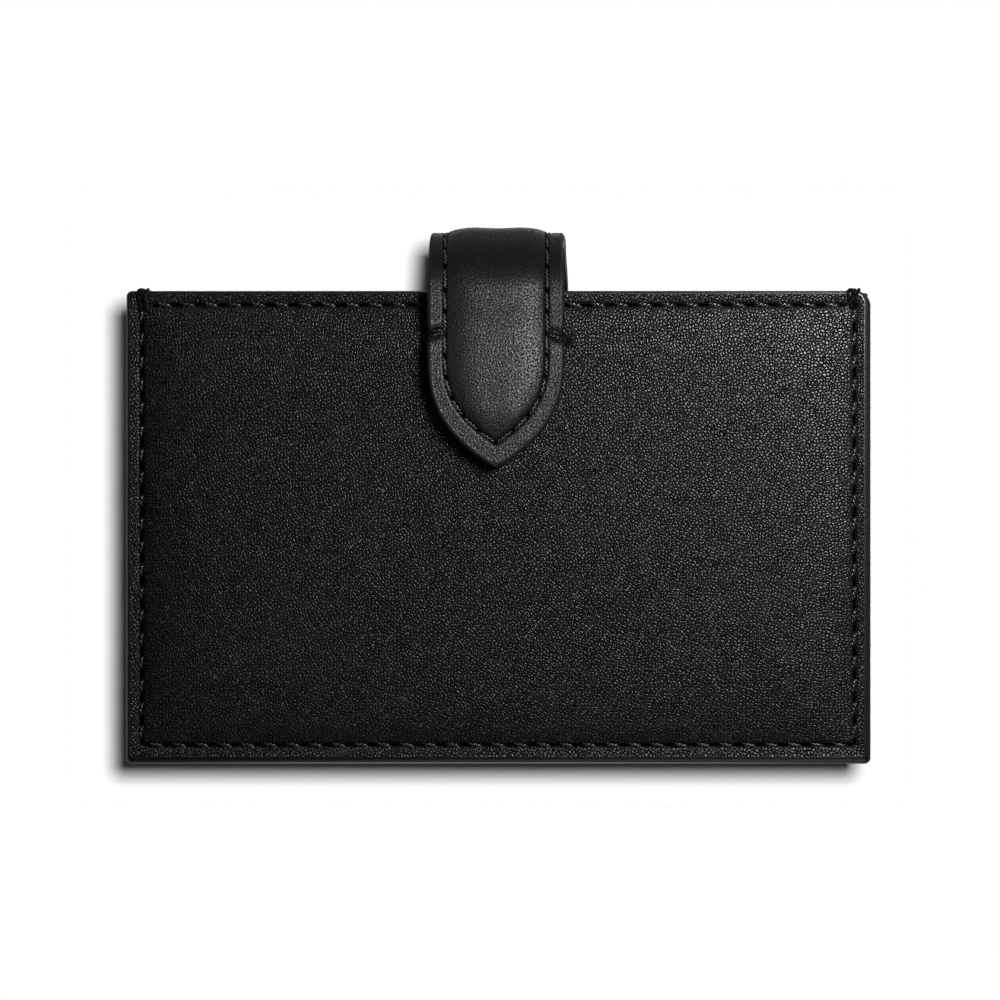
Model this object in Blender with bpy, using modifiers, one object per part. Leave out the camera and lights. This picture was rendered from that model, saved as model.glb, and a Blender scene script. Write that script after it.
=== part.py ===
"""Accordion card holder: a leather case with four fanning pockets, closed by a padded snap strap.

Metres, +Z up, +X to the right of the face that carries the sewn strap end, +Y away from that
face. The case stands on its bottom edges with the origin under the middle of the whole model.
"""
import math

import bmesh
import bpy
import numpy as np
from mathutils import Matrix

MM = 0.001

# Case and the clearance that neighbouring pieces keep
CASE_WIDTH = 104.2 * MM
CASE_HEIGHT = 66.2 * MM
PLAY = 0.3 * MM
SEAM_INSET = 2.0 * MM
CORNER_RADIUS = 1.0 * MM
WORN_CORNER_RADIUS = 2.1 * MM

# Outer panels: leather, padding, board, lining
LEATHER_T = 1.1 * MM
BOARD_T = 0.6 * MM
LINING_T = 0.7 * MM
CROWN = 0.9 * MM
CROWN_SHOULDER = 14.0 * MM
PADDING_INSET = 6.0 * MM
LEATHER_EDGE = 0.45 * MM
FOLD_EDGE = 0.2 * MM
FOOT_TURN = 0.1 * MM
BOARD_CORNER = 1.5 * MM
RIM_TOP = 2.2 * MM
RIM_BOTTOM = 4.5 * MM

# Pockets and gussets
POCKETS = 4
LEAF_T = 0.7 * MM
DIVIDER_T = 1.0 * MM
DIVIDER_DROP = 2.0 * MM
HINGE_HEIGHT = 3.0 * MM
LEAF_WIDTH_TOP = 6.5 * MM
LEAF_START = 8.0 * MM
LEAF_DROP = 0.6 * MM
LEAF_HINGE_INSET = 2.0 * MM
RIDGE_INSET = 0.6 * MM
FLANGE_REACH = 4.5 * MM
FLANGE_INSET = 0.4 * MM
RIDGE_LIP = 0.15 * MM

# Strap
STRAP_WIDTH = 19.3 * MM
STRAP_LEATHER_T = 1.0 * MM
STRAP_LINING_T = 0.7 * MM
STRAP_PAD_RISE = 0.84 * MM
STRAP_SEAM_INSET = 2.15 * MM
STRAP_EDGE = 0.35 * MM
ARCH_RISE = 5.7 * MM
LANCET_TOP_DROP = 8.3 * MM
LANCET_TIP_DROP = 24.4 * MM
SEAM_TIP_DROP = 21.35 * MM
LANCET_TIP_WIDTH = 0.7 * MM
PAD_WIDTH_SHARE = 0.8
PAD_TIP_DROP = 17.85 * MM
PAD_EASE = 5.0 * MM
PAD_LEAST_T = 0.1 * MM
LIFT_HINGE_DEPTH = 1.2 * MM
PEEL_HINGE_REACH = 8.6 * MM
TAB_STANDOFF = 2.4 * MM

# Press stud
SNAP_DROP = 15.7 * MM
SHANK_RADIUS = 1.2 * MM
CAP_RADIUS = 5.0 * MM
CAP_RISE = 1.3 * MM
SOCKET_RADIUS = 4.3 * MM
SOCKET_MOUTH_RADIUS = 2.35 * MM
SOCKET_DEPTH = 1.0 * MM
SOCKET_T = 1.4 * MM
SOCKET_RIM = 0.25 * MM
STUD_RADIUS = 1.85 * MM
STUD_FLANGE_RADIUS = 3.6 * MM
METAL_T = 0.3 * MM
POST_RADIUS = 3.8 * MM
POST_WALL = 0.4 * MM

# Places across the depth, measured from the middle of the case
POCKET_GAP = 3 * PLAY + 2 * LEAF_T
PITCH = POCKET_GAP + DIVIDER_T
FLOOR_T = (DIVIDER_T - PLAY) / 2
CORE_HALF = (POCKETS * PITCH - DIVIDER_T) / 2
LINING_OUT = CORE_HALF + LINING_T
BOARD_IN = LINING_OUT + PLAY
BOARD_OUT = BOARD_IN + BOARD_T
LEATHER_IN = BOARD_OUT + PLAY
PANEL_FACE = LEATHER_IN + LEATHER_T
STRAP_IN = PANEL_FACE + PLAY
STRAP_T = STRAP_LINING_T + PLAY + STRAP_LEATHER_T
SNAP_FACE = PANEL_FACE + CROWN
TAB_IN = SNAP_FACE + PLAY + TAB_STANDOFF
CAP_SEAT = TAB_IN + STRAP_T + PLAY
BACK_REACH = STRAP_IN + CROWN + STRAP_T + STRAP_PAD_RISE
FRONT_REACH = CAP_SEAT + CAP_RISE
MID_Y = (BACK_REACH - FRONT_REACH) / 2

LANCET_TOP = CASE_HEIGHT - LANCET_TOP_DROP
LANCET_TIP = CASE_HEIGHT - LANCET_TIP_DROP
SEAM_TIP = CASE_HEIGHT - SEAM_TIP_DROP
SNAP_HEIGHT = CASE_HEIGHT - SNAP_DROP

LEAF_HINGE_X = CASE_WIDTH / 2 - LEAF_HINGE_INSET
PLATE_FOOT = HINGE_HEIGHT + PLAY / 2
DIVIDER_TOP = CASE_HEIGHT - DIVIDER_DROP
ARCH_BASE = CASE_HEIGHT + PLAY
BACK, FRONT = -1, 1
LEFT, RIGHT = -1, 1

# The case is drawn about its own middle and moved so that the whole model is centred
CASE_PLACE = Matrix.Translation((0, MID_Y, 0))
# Where each object stands in the model, kept here because Blender only works it out later
WORLD = {}


def clear_scene():
    for thing in list(bpy.data.objects):
        bpy.data.objects.remove(thing, do_unlink=True)


def new_collection(name):
    group = bpy.data.collections.get(name) or bpy.data.collections.new(name)
    if name not in bpy.context.scene.collection.children:
        bpy.context.scene.collection.children.link(group)
    return group


def new_material(name, colour, roughness, metallic=0.0):
    material = bpy.data.materials.get(name) or bpy.data.materials.new(name)
    material.use_nodes = True
    shader = material.node_tree.nodes["Principled BSDF"]
    shader.inputs["Base Color"].default_value = (*colour, 1.0)
    shader.inputs["Roughness"].default_value = roughness
    shader.inputs["Metallic"].default_value = metallic
    return material


clear_scene()
PARTS = new_collection("accordion_card_holder")
CUTTERS = new_collection("cutters")
MATERIALS = {
    "panel_leather": new_material("panel_leather", (0.020, 0.020, 0.021), 0.55),
    "strap_leather": new_material("strap_leather", (0.032, 0.032, 0.033), 0.42),
    "lining_leather": new_material("lining_leather", (0.024, 0.024, 0.025), 0.6),
    "gusset_leather": new_material("gusset_leather", (0.022, 0.022, 0.023), 0.5),
    "board": new_material("board", (0.30, 0.27, 0.22), 0.85),
    "padding": new_material("padding", (0.55, 0.54, 0.50), 0.9),
    "snap_metal": new_material("snap_metal", (0.58, 0.57, 0.55), 0.28, 1.0),
}


def new_body(name, y=0.0, z=0.0, x=0.0, parent=None):
    """An empty on the joint's axis; its pieces and the bodies it carries hang on it."""
    empty = bpy.data.objects.new(name, None)
    empty.empty_display_size = 5 * MM
    PARTS.objects.link(empty)
    place_under(empty, parent, Matrix.Translation((x, y, z)))
    return empty


def place_under(thing, parent, matrix):
    """Give a thing its place in the case and keep it there under its parent."""
    thing.parent = parent
    WORLD[thing.name] = matrix
    if parent is None:
        thing.matrix_world = matrix
    else:
        thing.matrix_local = WORLD[parent.name].inverted() @ matrix


def finish_piece(piece, material, body, matrix=None):
    PARTS.objects.link(piece)
    piece.data.materials.append(MATERIALS[material])
    place_under(piece, body, CASE_PLACE @ (matrix or Matrix.Identity(4)))
    return piece


def soften(piece, width, segments=2, angle=40.0):
    bevel = piece.modifiers.new("worn edge", "BEVEL")
    bevel.width = width
    bevel.segments = segments
    bevel.limit_method = "ANGLE"
    bevel.angle_limit = math.radians(angle)


def lattice(name, across, along, place, material, body):
    """A box cut into across x along cells, each corner moved to place(column, row, is_top)."""
    bm = bmesh.new()
    bmesh.ops.create_cube(bm, size=2)
    for axis, cells in ((0, across), (1, along)):
        edges = [e for e in bm.edges if abs(e.verts[0].co[axis] - e.verts[1].co[axis]) > 1]
        if cells > 1:
            bmesh.ops.subdivide_edges(bm, edges=edges, cuts=cells - 1, use_grid_fill=True)
    for vert in bm.verts:
        column = round((vert.co.x + 1) / 2 * across)
        row = round((vert.co.y + 1) / 2 * along)
        vert.co = place(column, row, vert.co.z > 0)
    if bm.calc_volume(signed=True) < 0:
        bmesh.ops.reverse_faces(bm, faces=bm.faces)
    mesh = bpy.data.meshes.new(name)
    bm.to_mesh(mesh)
    bm.free()
    mesh.shade_smooth()
    mesh.set_sharp_from_angle(angle=math.radians(35))
    return finish_piece(bpy.data.objects.new(name, mesh), material, body)


# How a flat outline's own axes lie in the case when it is extruded along X, Y or Z
EXTRUDED = {
    "X": Matrix(((0, 0, 1, 0), (1, 0, 0, 0), (0, 1, 0, 0), (0, 0, 0, 1))),
    "Y": Matrix(((1, 0, 0, 0), (0, 0, -1, 0), (0, 1, 0, 0), (0, 0, 0, 1))),
    "Z": Matrix.Identity(4),
}


def extruded(name, points, along, low, high, material, body):
    """A closed outline in the plane across one axis, filled and extruded from low to high."""
    curve = bpy.data.curves.new(name, "CURVE")
    curve.dimensions = "2D"
    curve.fill_mode = "BOTH"
    curve.extrude = (high - low) / 2
    spline = curve.splines.new("POLY")
    spline.points.add(len(points) - 1)
    for point, (a, b) in zip(spline.points, points):
        point.co = (a, b, 0, 1)
    spline.use_cyclic_u = True
    middle = (low + high) / 2
    shift = {"X": (middle, 0, 0), "Y": (0, middle, 0), "Z": (0, 0, middle)}[along]
    piece = bpy.data.objects.new(name, curve)
    return finish_piece(piece, material, body, Matrix.Translation(shift) @ EXTRUDED[along])


def turned(name, profile, y, side, material, body, steps=28):
    """A profile of (radius, height) turned about the snap's axis, heights running outwards."""
    mesh = bpy.data.meshes.new(name)
    points = [(radius, 0, height) for radius, height in profile]
    mesh.from_pydata(points, [(k, k + 1) for k in range(len(points) - 1)], [])
    piece = bpy.data.objects.new(name, mesh)
    screw = piece.modifiers.new("turn", "SCREW")
    screw.steps = steps
    screw.render_steps = steps
    screw.use_merge_vertices = True
    screw.merge_threshold = 0.00001
    turn = Matrix.Rotation(math.radians(-90 * side), 4, "X")
    place = Matrix.Translation((0, side * y, SNAP_HEIGHT)) @ turn
    return finish_piece(piece, material, body, place)


def drill(piece, radius, y, depth, name):
    """Cut a round hole along the snap's axis through a piece."""
    mesh = bpy.data.meshes.new(name)
    bm = bmesh.new()
    bmesh.ops.create_cone(bm, cap_ends=True, segments=24, radius1=radius, radius2=radius, depth=depth)
    bm.to_mesh(mesh)
    bm.free()
    cutter = bpy.data.objects.new(name, mesh)
    CUTTERS.objects.link(cutter)
    cutter.matrix_world = CASE_PLACE @ Matrix.Translation((0, y, SNAP_HEIGHT)) @ \
        Matrix.Rotation(math.radians(90), 4, "X")
    cutter.hide_render = True
    cutter.display_type = "WIRE"
    cut = piece.modifiers.new("shank hole", "BOOLEAN")
    cut.operation = "DIFFERENCE"
    cut.object = cutter


def arc(centre_a, centre_b, radius_a, radius_b, start, end, steps):
    """Points on an ellipse from one angle to another, in degrees."""
    angles = [math.radians(start + (end - start) * k / steps) for k in range(steps + 1)]
    return [(centre_a + radius_a * math.cos(t), centre_b + radius_b * math.sin(t)) for t in angles]


def rounded_box(a0, b0, a1, b1, radius, steps=3):
    return (arc(a1 - radius, b1 - radius, radius, radius, 0, 90, steps)
            + arc(a0 + radius, b1 - radius, radius, radius, 90, 180, steps)
            + arc(a0 + radius, b0 + radius, radius, radius, 180, 270, steps)
            + arc(a1 - radius, b0 + radius, radius, radius, 270, 360, steps))


def eased(distance):
    """Rise of the padded face from 0 at the seam to 1 where the shoulder ends."""
    t = min(max(distance / CROWN_SHOULDER, 0.0), 1.0)
    return 1 - (1 - t) ** 3


def crown(x, z):
    """How far the padded leather stands proud of its flat sewn margin."""
    beside = CASE_WIDTH / 2 - SEAM_INSET - abs(x)
    above = z - SEAM_INSET
    below = CASE_HEIGHT - SEAM_INSET - z
    return CROWN * eased(beside) * eased(above) * eased(below)


def corner_inset(z, top_radius):
    """How far the outline draws in beside a rounded corner."""
    if z < CORNER_RADIUS:
        radius, reach = CORNER_RADIUS, CORNER_RADIUS - z
    elif CASE_HEIGHT - z < top_radius:
        radius, reach = top_radius, top_radius - (CASE_HEIGHT - z)
    else:
        return 0.0
    return radius - math.sqrt(max(radius ** 2 - reach ** 2, 0.0))


def crowded(index, count):
    """-1 to 1, with the steps crowded towards both ends."""
    return math.sin((2 * index / count - 1) * math.pi / 2)


def make_leather(word, side, body):
    across, along = 22, 14

    def place(column, row, top):
        z = CASE_HEIGHT / 2 * (1 + crowded(row, along))
        left = -CASE_WIDTH / 2 + corner_inset(z, CORNER_RADIUS)
        right = CASE_WIDTH / 2 - corner_inset(z, WORN_CORNER_RADIUS)
        x = (left + right) / 2 + (right - left) / 2 * crowded(column, across)
        y = LEATHER_IN + crown(x, z) + (LEATHER_T if top else 0)
        return x, side * y, z

    piece = lattice(word + "_leather", across, along, place, "panel_leather", body)
    soften(piece, LEATHER_EDGE)
    return piece


def make_padding(word, side, body):
    """The lens of foam that lifts the leather; it fills the crown less its own play."""
    across, along = 12, 8
    reach = CASE_WIDTH / 2 - SEAM_INSET - PADDING_INSET
    low = SEAM_INSET + PADDING_INSET
    high = CASE_HEIGHT - low

    def place(column, row, top):
        x = reach * crowded(column, across)
        z = (low + high) / 2 + (high - low) / 2 * crowded(row, along)
        y = LEATHER_IN + (crown(x, z) - PLAY if top else 0)
        return x, side * y, z

    return lattice(word + "_padding", across, along, place, "padding", body)


def make_board(word, side, body):
    reach = CASE_WIDTH / 2 - FLANGE_INSET - FLANGE_REACH - LEAF_HINGE_INSET - PLAY
    outline = rounded_box(-reach, RIM_BOTTOM + PLAY, reach, CASE_HEIGHT - RIM_TOP - PLAY,
                          BOARD_CORNER)
    low, high = sorted((side * BOARD_IN, side * BOARD_OUT))
    return extruded(word + "_board", outline, "Y", low, high, "board", body)


def make_lining(word, side, body):
    """A tray in section: a plate inside, turned out to the leather along its top and bottom."""
    foot_in = CORE_HALF + FLOOR_T + PLAY + FOOT_TURN
    section = [
        (CORE_HALF, PLATE_FOOT), (foot_in, PLATE_FOOT), (foot_in, 0), (BOARD_OUT, 0),
        (BOARD_OUT, RIM_BOTTOM), (LINING_OUT, RIM_BOTTOM), (LINING_OUT, CASE_HEIGHT - RIM_TOP),
        (BOARD_OUT, CASE_HEIGHT - RIM_TOP), (BOARD_OUT, CASE_HEIGHT), (CORE_HALF, CASE_HEIGHT)]
    reach = LEAF_HINGE_X + PLAY / 2
    return extruded(word + "_lining", [(side * a, b) for a, b in section], "X", -reach, reach,
                    "lining_leather", body)


def add_box(bm, low, high):
    """A box between two corners, added to a mesh in the making."""
    size = [b - a for a, b in zip(low, high)]
    middle = [(a + b) / 2 for a, b in zip(low, high)]
    place = Matrix.Translation(middle) @ Matrix.Diagonal((*size, 1))
    bmesh.ops.create_cube(bm, size=1, matrix=place)


def box_object(name, x_range, y_range, z_range):
    lows, highs = zip(*(sorted(r) for r in (x_range, y_range, z_range)))
    bm = bmesh.new()
    add_box(bm, lows, highs)
    mesh = bpy.data.meshes.new(name)
    bm.to_mesh(mesh)
    bm.free()
    return bpy.data.objects.new(name, mesh)


def make_flange(word, side, hand, body):
    """The gusset's sewn end: a foot between leather and lining, and a bead beside the lining."""
    outer = CASE_WIDTH / 2 - FLANGE_INSET
    bead_in = LEAF_HINGE_X + PLAY / 2 + PLAY
    foot_in = outer - LEAF_HINGE_INSET - FLANGE_REACH
    pocket_side = CORE_HALF - PLAY - LEAF_T
    name = "flange_" + word + ("_left" if hand == LEFT else "_right")
    bead = box_object(name, (hand * bead_in, hand * outer), (side * pocket_side, side * BOARD_OUT),
                      (PLAY, CASE_HEIGHT - PLAY))
    finish_piece(bead, "gusset_leather", body)
    foot = box_object(name + "_foot", (hand * foot_in, hand * (bead_in + outer) / 2),
                      (side * BOARD_IN, side * BOARD_OUT),
                      (RIM_BOTTOM + PLAY, CASE_HEIGHT - RIM_TOP - PLAY))
    CUTTERS.objects.link(foot)
    foot.matrix_world = CASE_PLACE
    foot.hide_render = True
    foot.display_type = "WIRE"
    join = bead.modifiers.new("foot", "BOOLEAN")
    join.operation = "UNION"
    join.object = foot
    soften(bead, FOLD_EDGE, 1)


def divider_y(number):
    return -CORE_HALF + number * PITCH - DIVIDER_T / 2


def pocket_y(number):
    return -CORE_HALF + POCKET_GAP / 2 + (number - 1) * PITCH


def make_divider(number, body):
    """Two plies of lining leather folded over at the top, where the fold is round."""
    y = divider_y(number)
    half = DIVIDER_T / 2
    outline = [(y - half, PLATE_FOOT), (y + half, PLATE_FOOT)]
    outline += arc(y, DIVIDER_TOP - half, half, half, 0, 180, 6)
    reach = CASE_WIDTH / 2 - RIDGE_INSET - LEAF_T - PLAY
    extruded(f"divider_{number}", outline, "X", -reach, reach, "lining_leather", body)


def make_ridge(number, hand, body):
    """The mountain fold of the side gusset, wrapped round the divider's edge."""
    y = divider_y(number)
    half_out = DIVIDER_T / 2 + PLAY + LEAF_T
    half_in = DIVIDER_T / 2 + PLAY
    nose = CASE_WIDTH / 2 - RIDGE_INSET
    start = LEAF_HINGE_X + PLAY + FOLD_EDGE / 4
    shoulder = start + RIDGE_LIP
    inner = nose - LEAF_T
    outline = [(start, -half_out)]
    outline += arc(shoulder, 0, nose - shoulder, half_out, -90, 90, 10)
    outline += [(start, half_out), (start, half_in), (inner, half_in), (inner, -half_in),
                (start, -half_in)]
    points = [(hand * a, y + b) for a, b in outline]
    name = f"ridge_{number}" + ("_left" if hand == LEFT else "_right")
    low = HINGE_HEIGHT - POCKET_GAP / 2 - PLAY / 2
    extruded(name, points, "Z", low, DIVIDER_TOP - PLAY, "gusset_leather", body)


def make_floor(number, body):
    """The round fold at the foot of a pocket, centred on the pocket's turning axis."""
    y = pocket_y(number)
    inner = POCKET_GAP / 2
    outer = inner + FLOOR_T
    lean_out = math.degrees(math.asin(PLAY / 2 / outer))
    lean_in = math.degrees(math.asin(PLAY / 2 / inner))
    outline = arc(y, HINGE_HEIGHT, outer, outer, 180 + lean_out, 360 - lean_out, 10)
    outline += arc(y, HINGE_HEIGHT, inner, inner, 360 - lean_in, 180 + lean_in, 8)
    extruded(f"pocket_floor_{number}", outline, "X", -LEAF_HINGE_X, LEAF_HINGE_X,
             "lining_leather", body)


def leaf_width(z):
    """The leaf's width grows evenly with the height above the pocket's turning axis."""
    return LEAF_WIDTH_TOP * (z - HINGE_HEIGHT) / (DIVIDER_TOP - HINGE_HEIGHT)


def leaf_y(number, near):
    """Middle of a leaf's thickness; near is -1 for the leaf on the pocket's back wall."""
    return pocket_y(number) + near * (PLAY / 2 + LEAF_T / 2)


def make_leaf(number, hand, near, carrier):
    """One half of a gusset's inward fold, on its own crease line beside a wall of the pocket."""
    word = f"gusset_{number}_" + ("left" if hand == LEFT else "right")
    word += "_rear" if near == BACK else "_fore"
    y = leaf_y(number, near)
    body = new_body("body_" + word, y + MID_Y, HINGE_HEIGHT, hand * LEAF_HINGE_X, carrier)

    def place(column, row, top):
        z = (LEAF_START, DIVIDER_TOP - LEAF_DROP)[row]
        x = LEAF_HINGE_X - (leaf_width(z) if column else 0)
        return hand * x, y + (LEAF_T / 2 if top else -LEAF_T / 2), z

    lattice(word, 1, 1, place, "gusset_leather", body)


class StrapLine:
    """The strap's inner line on one side: over the arch, then down the padded face to the tip."""

    def __init__(self, side):
        self.side = side
        reach = STRAP_IN if side == BACK else TAB_IN - CROWN
        angles = np.radians(np.linspace(90, 0, 91))
        arch = np.stack([reach * np.cos(angles), ARCH_BASE + ARCH_RISE * np.sin(angles)], 1)
        heights = np.linspace(ARCH_BASE, LANCET_TIP, 200)[1:]
        face = np.array([(reach + crown(0, z), z) for z in heights])
        self.points = np.concatenate([arch, face])
        steps = np.hypot(*np.diff(self.points, axis=0).T)
        self.reach = np.concatenate([[0.0], np.cumsum(steps)])
        self.length = float(self.reach[-1])

    def at(self, distance):
        """Point (y, z) at a distance from the top of the arch, with y still unsigned."""
        return np.array([np.interp(distance, self.reach, self.points[:, k]) for k in (0, 1)])

    def normal(self, distance):
        step = 0.4 * MM
        ahead = self.at(min(distance + step, self.length))
        behind = self.at(max(distance - step, 0.0))
        tangent = ahead - behind
        if distance < step:
            tangent = np.array([1.0, tangent[1] * distance / step])
        tangent = tangent / np.hypot(*tangent)
        return np.array([-tangent[1], tangent[0]])

    def off(self, distance, height):
        """Point in the case, height above the inner line."""
        y, z = self.at(distance) + self.normal(distance) * height
        return self.side * y, z

    def distance_at(self, value, axis):
        """Distance where the line first reaches a given y (axis 0) or z (axis 1)."""
        column = self.points[:, axis]
        passed = column >= value if axis == 0 else column <= value
        return float(self.reach[int(np.argmax(passed))])


def taper(z, tip):
    """1 along the straight sides, falling to 0 at the lancet's tip."""
    t = min(max((LANCET_TOP - z) / (LANCET_TOP - tip), 0.0), 1.0)
    return 1 - t ** 3


def strap_half_width(z):
    return max(STRAP_WIDTH / 2 * taper(z, LANCET_TIP), LANCET_TIP_WIDTH / 2)


def strap_bulge(line, x, z):
    """The padding's rise inside the strap's seam, pressed flat under the snap's cap."""
    half = (STRAP_WIDTH / 2 - STRAP_SEAM_INSET) * taper(z, SEAM_TIP)
    if half < LANCET_TIP_WIDTH:
        return 0.0
    share = min(abs(x) / half, 1.0)
    ends = min(max((z - SEAM_TIP) / PAD_EASE, 0.0), 1.0)
    rise = STRAP_PAD_RISE * (1 - share ** 4) * math.sin(ends * math.pi / 2)
    if line.side == FRONT:
        away = math.hypot(x, z - SNAP_HEIGHT) / CAP_RADIUS - 1
        rise *= min(max(away / 0.5, 0.0), 1.0)
    return rise


def strap_piece(name, line, start, end, across, along, width, layer, material, body):
    """A length of strap: layer(x, z) gives its inner and outer heights."""
    rows = [start + (end - start) * k / along for k in range(along + 1)]

    def place(column, row, top):
        distance = rows[row]
        z = line.at(distance)[1]
        x = (2 * column / across - 1) * width(z)
        y, height = line.off(distance, layer(x, z)[1 if top else 0])
        return x, y, height

    return lattice(name, across, along, place, material, body)


def make_strap_length(word, line, start, end, rows, body, pad_end=None):
    """Outer leather, padding and lining of one length of strap between two slits."""
    def leather(x, z):
        base = STRAP_LINING_T + PLAY + strap_bulge(line, x, z)
        return base, base + STRAP_LEATHER_T

    def padding(x, z):
        base = STRAP_LINING_T + PLAY
        return base, base + max(strap_bulge(line, x, z) - PLAY, PAD_LEAST_T)

    def lining(x, z):
        return 0.0, STRAP_LINING_T

    def pad_width(z):
        return PAD_WIDTH_SHARE * (STRAP_WIDTH / 2 - STRAP_SEAM_INSET) * taper(z, SEAM_TIP)

    outer = strap_piece(f"strap_{word}_leather", line, start, end, 10, rows, strap_half_width,
                        leather, "strap_leather", body)
    soften(outer, STRAP_EDGE)
    inner = strap_piece(f"strap_{word}_lining", line, start, end, 2, rows, strap_half_width,
                        lining, "lining_leather", body)
    strap_piece(f"strap_{word}_padding", line, start, pad_end or end, 6, max(rows - 3, 4), pad_width,
                padding, "padding", body)
    return outer, inner


def make_snap(tab_body, front_body, tab_pieces, front_pieces):
    """Cap and socket on the tab, stud and post on the front panel, on one axis along Y."""
    hole = SHANK_RADIUS + PLAY
    shank = CAP_SEAT - TAB_IN
    cap = [(0, CAP_RISE)] + [(CAP_RADIUS * math.sin(t), METAL_T + (CAP_RISE - METAL_T) * math.cos(t))
                             for t in np.radians([18, 36, 54, 72, 90])]
    cap += [(CAP_RADIUS - METAL_T / 2, 0), (SHANK_RADIUS, 0), (SHANK_RADIUS, -shank), (0, -shank)]
    turned("snap_cap", cap, CAP_SEAT, FRONT, "snap_metal", tab_body)
    mouth = SOCKET_MOUTH_RADIUS
    socket = [(0, SOCKET_T), (SOCKET_RADIUS - SOCKET_RIM, SOCKET_T),
              (SOCKET_RADIUS, SOCKET_T - SOCKET_RIM), (SOCKET_RADIUS, SOCKET_RIM),
              (SOCKET_RADIUS - SOCKET_RIM, 0), (mouth + SOCKET_RIM, 0),
              (mouth, SOCKET_RIM), (mouth, SOCKET_DEPTH), (0, SOCKET_DEPTH)]
    turned("snap_socket", socket, TAB_IN - PLAY - SOCKET_T, FRONT, "snap_metal", tab_body)
    head = TAB_STANDOFF - PLAY - (SOCKET_T - SOCKET_DEPTH) - PLAY
    depth = PLAY + LEATHER_T + PLAY
    stud = [(0, head), (0.55 * STUD_RADIUS, 0.96 * head), (0.9 * STUD_RADIUS, 0.79 * head),
            (STUD_RADIUS, 0.57 * head), (0.86 * STUD_RADIUS, METAL_T),
            (STUD_FLANGE_RADIUS, METAL_T), (STUD_FLANGE_RADIUS, 0), (SHANK_RADIUS, 0),
            (SHANK_RADIUS, -depth), (0, -depth)]
    turned("snap_stud", stud, SNAP_FACE + PLAY, FRONT, "snap_metal", front_body)
    collar = SNAP_FACE - LEATHER_T - PLAY - LEATHER_IN
    post = [(hole, collar), (hole + POST_WALL, collar), (hole + POST_WALL, METAL_T),
            (POST_RADIUS, METAL_T), (POST_RADIUS, 0), (0, 0)]
    post = [(0, METAL_T / 2), (hole, METAL_T / 2)] + post
    turned("snap_post", post, LEATHER_IN, FRONT, "snap_metal", front_body)
    for piece in tab_pieces:
        drill(piece, hole, TAB_IN + STRAP_T / 2, 4 * STRAP_T, piece.name + "_hole")
    leather, padding = front_pieces
    drill(leather, hole, SNAP_FACE, 4 * LEATHER_T, "front_leather_hole")
    drill(padding, POST_RADIUS + PLAY, SNAP_FACE, 4 * LEATHER_T, "front_padding_hole")


# The bodies: dividers carry the pockets beside them, the strap hangs on the back panel
middle_number = POCKETS // 2
bodies = {middle_number: new_body("body_middle", divider_y(middle_number) + MID_Y)}
for number in range(middle_number - 1, -1, -1):
    word = f"body_divider_{number}" if number else "body_back"
    bodies[number] = new_body(word, pocket_y(number + 1) + MID_Y, HINGE_HEIGHT, 0, bodies[number + 1])
for number in range(middle_number + 1, POCKETS + 1):
    word = f"body_divider_{number}" if number < POCKETS else "body_front"
    bodies[number] = new_body(word, pocket_y(number) + MID_Y, HINGE_HEIGHT, 0, bodies[number - 1])

panel_pieces = {}
for word, side, body in (("back", BACK, bodies[0]), ("front", FRONT, bodies[POCKETS])):
    leather_piece = make_leather(word, side, body)
    padding_piece = make_padding(word, side, body)
    panel_pieces[word] = (leather_piece, padding_piece)
    make_board(word, side, body)
    make_lining(word, side, body)
    for hand in (LEFT, RIGHT):
        make_flange(word, side, hand, body)

for number in range(1, POCKETS):
    make_divider(number, bodies[number])
    for hand in (LEFT, RIGHT):
        make_ridge(number, hand, bodies[number])

for number in range(1, POCKETS + 1):
    make_floor(number, bodies[number] if number <= middle_number else bodies[number - 1])
    for hand in (LEFT, RIGHT):
        make_leaf(number, hand, BACK, bodies[number - 1])
        make_leaf(number, hand, FRONT, bodies[number])

back_line = StrapLine(BACK)
front_line = StrapLine(FRONT)
slit = PLAY / 2
proud = STRAP_T + STRAP_PAD_RISE
lift_at = back_line.distance_at(ARCH_BASE + LIFT_HINGE_DEPTH, 1)
peel_at = front_line.distance_at(PEEL_HINGE_REACH, 0)
lift_axis = back_line.off(lift_at, proud)
unroll_axis = (0.0, ARCH_BASE + ARCH_RISE + proud)
peel_axis = front_line.off(peel_at, proud)
rear_arch = new_body("body_rear_arch", lift_axis[0] + MID_Y, lift_axis[1], 0, bodies[0])
fore_arch = new_body("body_fore_arch", unroll_axis[0] + MID_Y, unroll_axis[1], 0, rear_arch)
tab = new_body("body_tab", peel_axis[0] + MID_Y, peel_axis[1], 0, fore_arch)

tip = back_line.length
pad_tip = back_line.distance_at(CASE_HEIGHT - PAD_TIP_DROP, 1)
make_strap_length("anchor", back_line, lift_at + slit, tip, 16, bodies[0], pad_tip)
make_strap_length("rear_arch", back_line, slit, lift_at - slit, 7, rear_arch)
make_strap_length("fore_arch", front_line, slit, peel_at - slit, 6, fore_arch)
snap_pad_end = front_line.distance_at(SNAP_HEIGHT + 1.5 * CAP_RADIUS, 1)
tab_pieces = make_strap_length("tab", front_line, peel_at + slit, front_line.length, 18, tab,
                               snap_pad_end)
make_snap(tab, bodies[POCKETS], tab_pieces, panel_pieces["front"])

print("leaf hinge x", LEAF_HINGE_X, "pockets y", [pocket_y(k) + MID_Y for k in range(1, POCKETS + 1)])
print("middle y", MID_Y, "strap axes", [(a + MID_Y, b) for a, b in (lift_axis, unroll_axis, peel_axis)])
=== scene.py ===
# %% [markdown]
# # Accordion card holder, dressed
# The CAD model says where every piece is and how it moves. This script dresses it: grained leather
# with sewn seams, a padded strap, folded gussets, a press stud, plain light and a camera.
# Lengths are in millimetres in the case's own axes until a mesh is made, and then in metres.

import math

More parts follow.
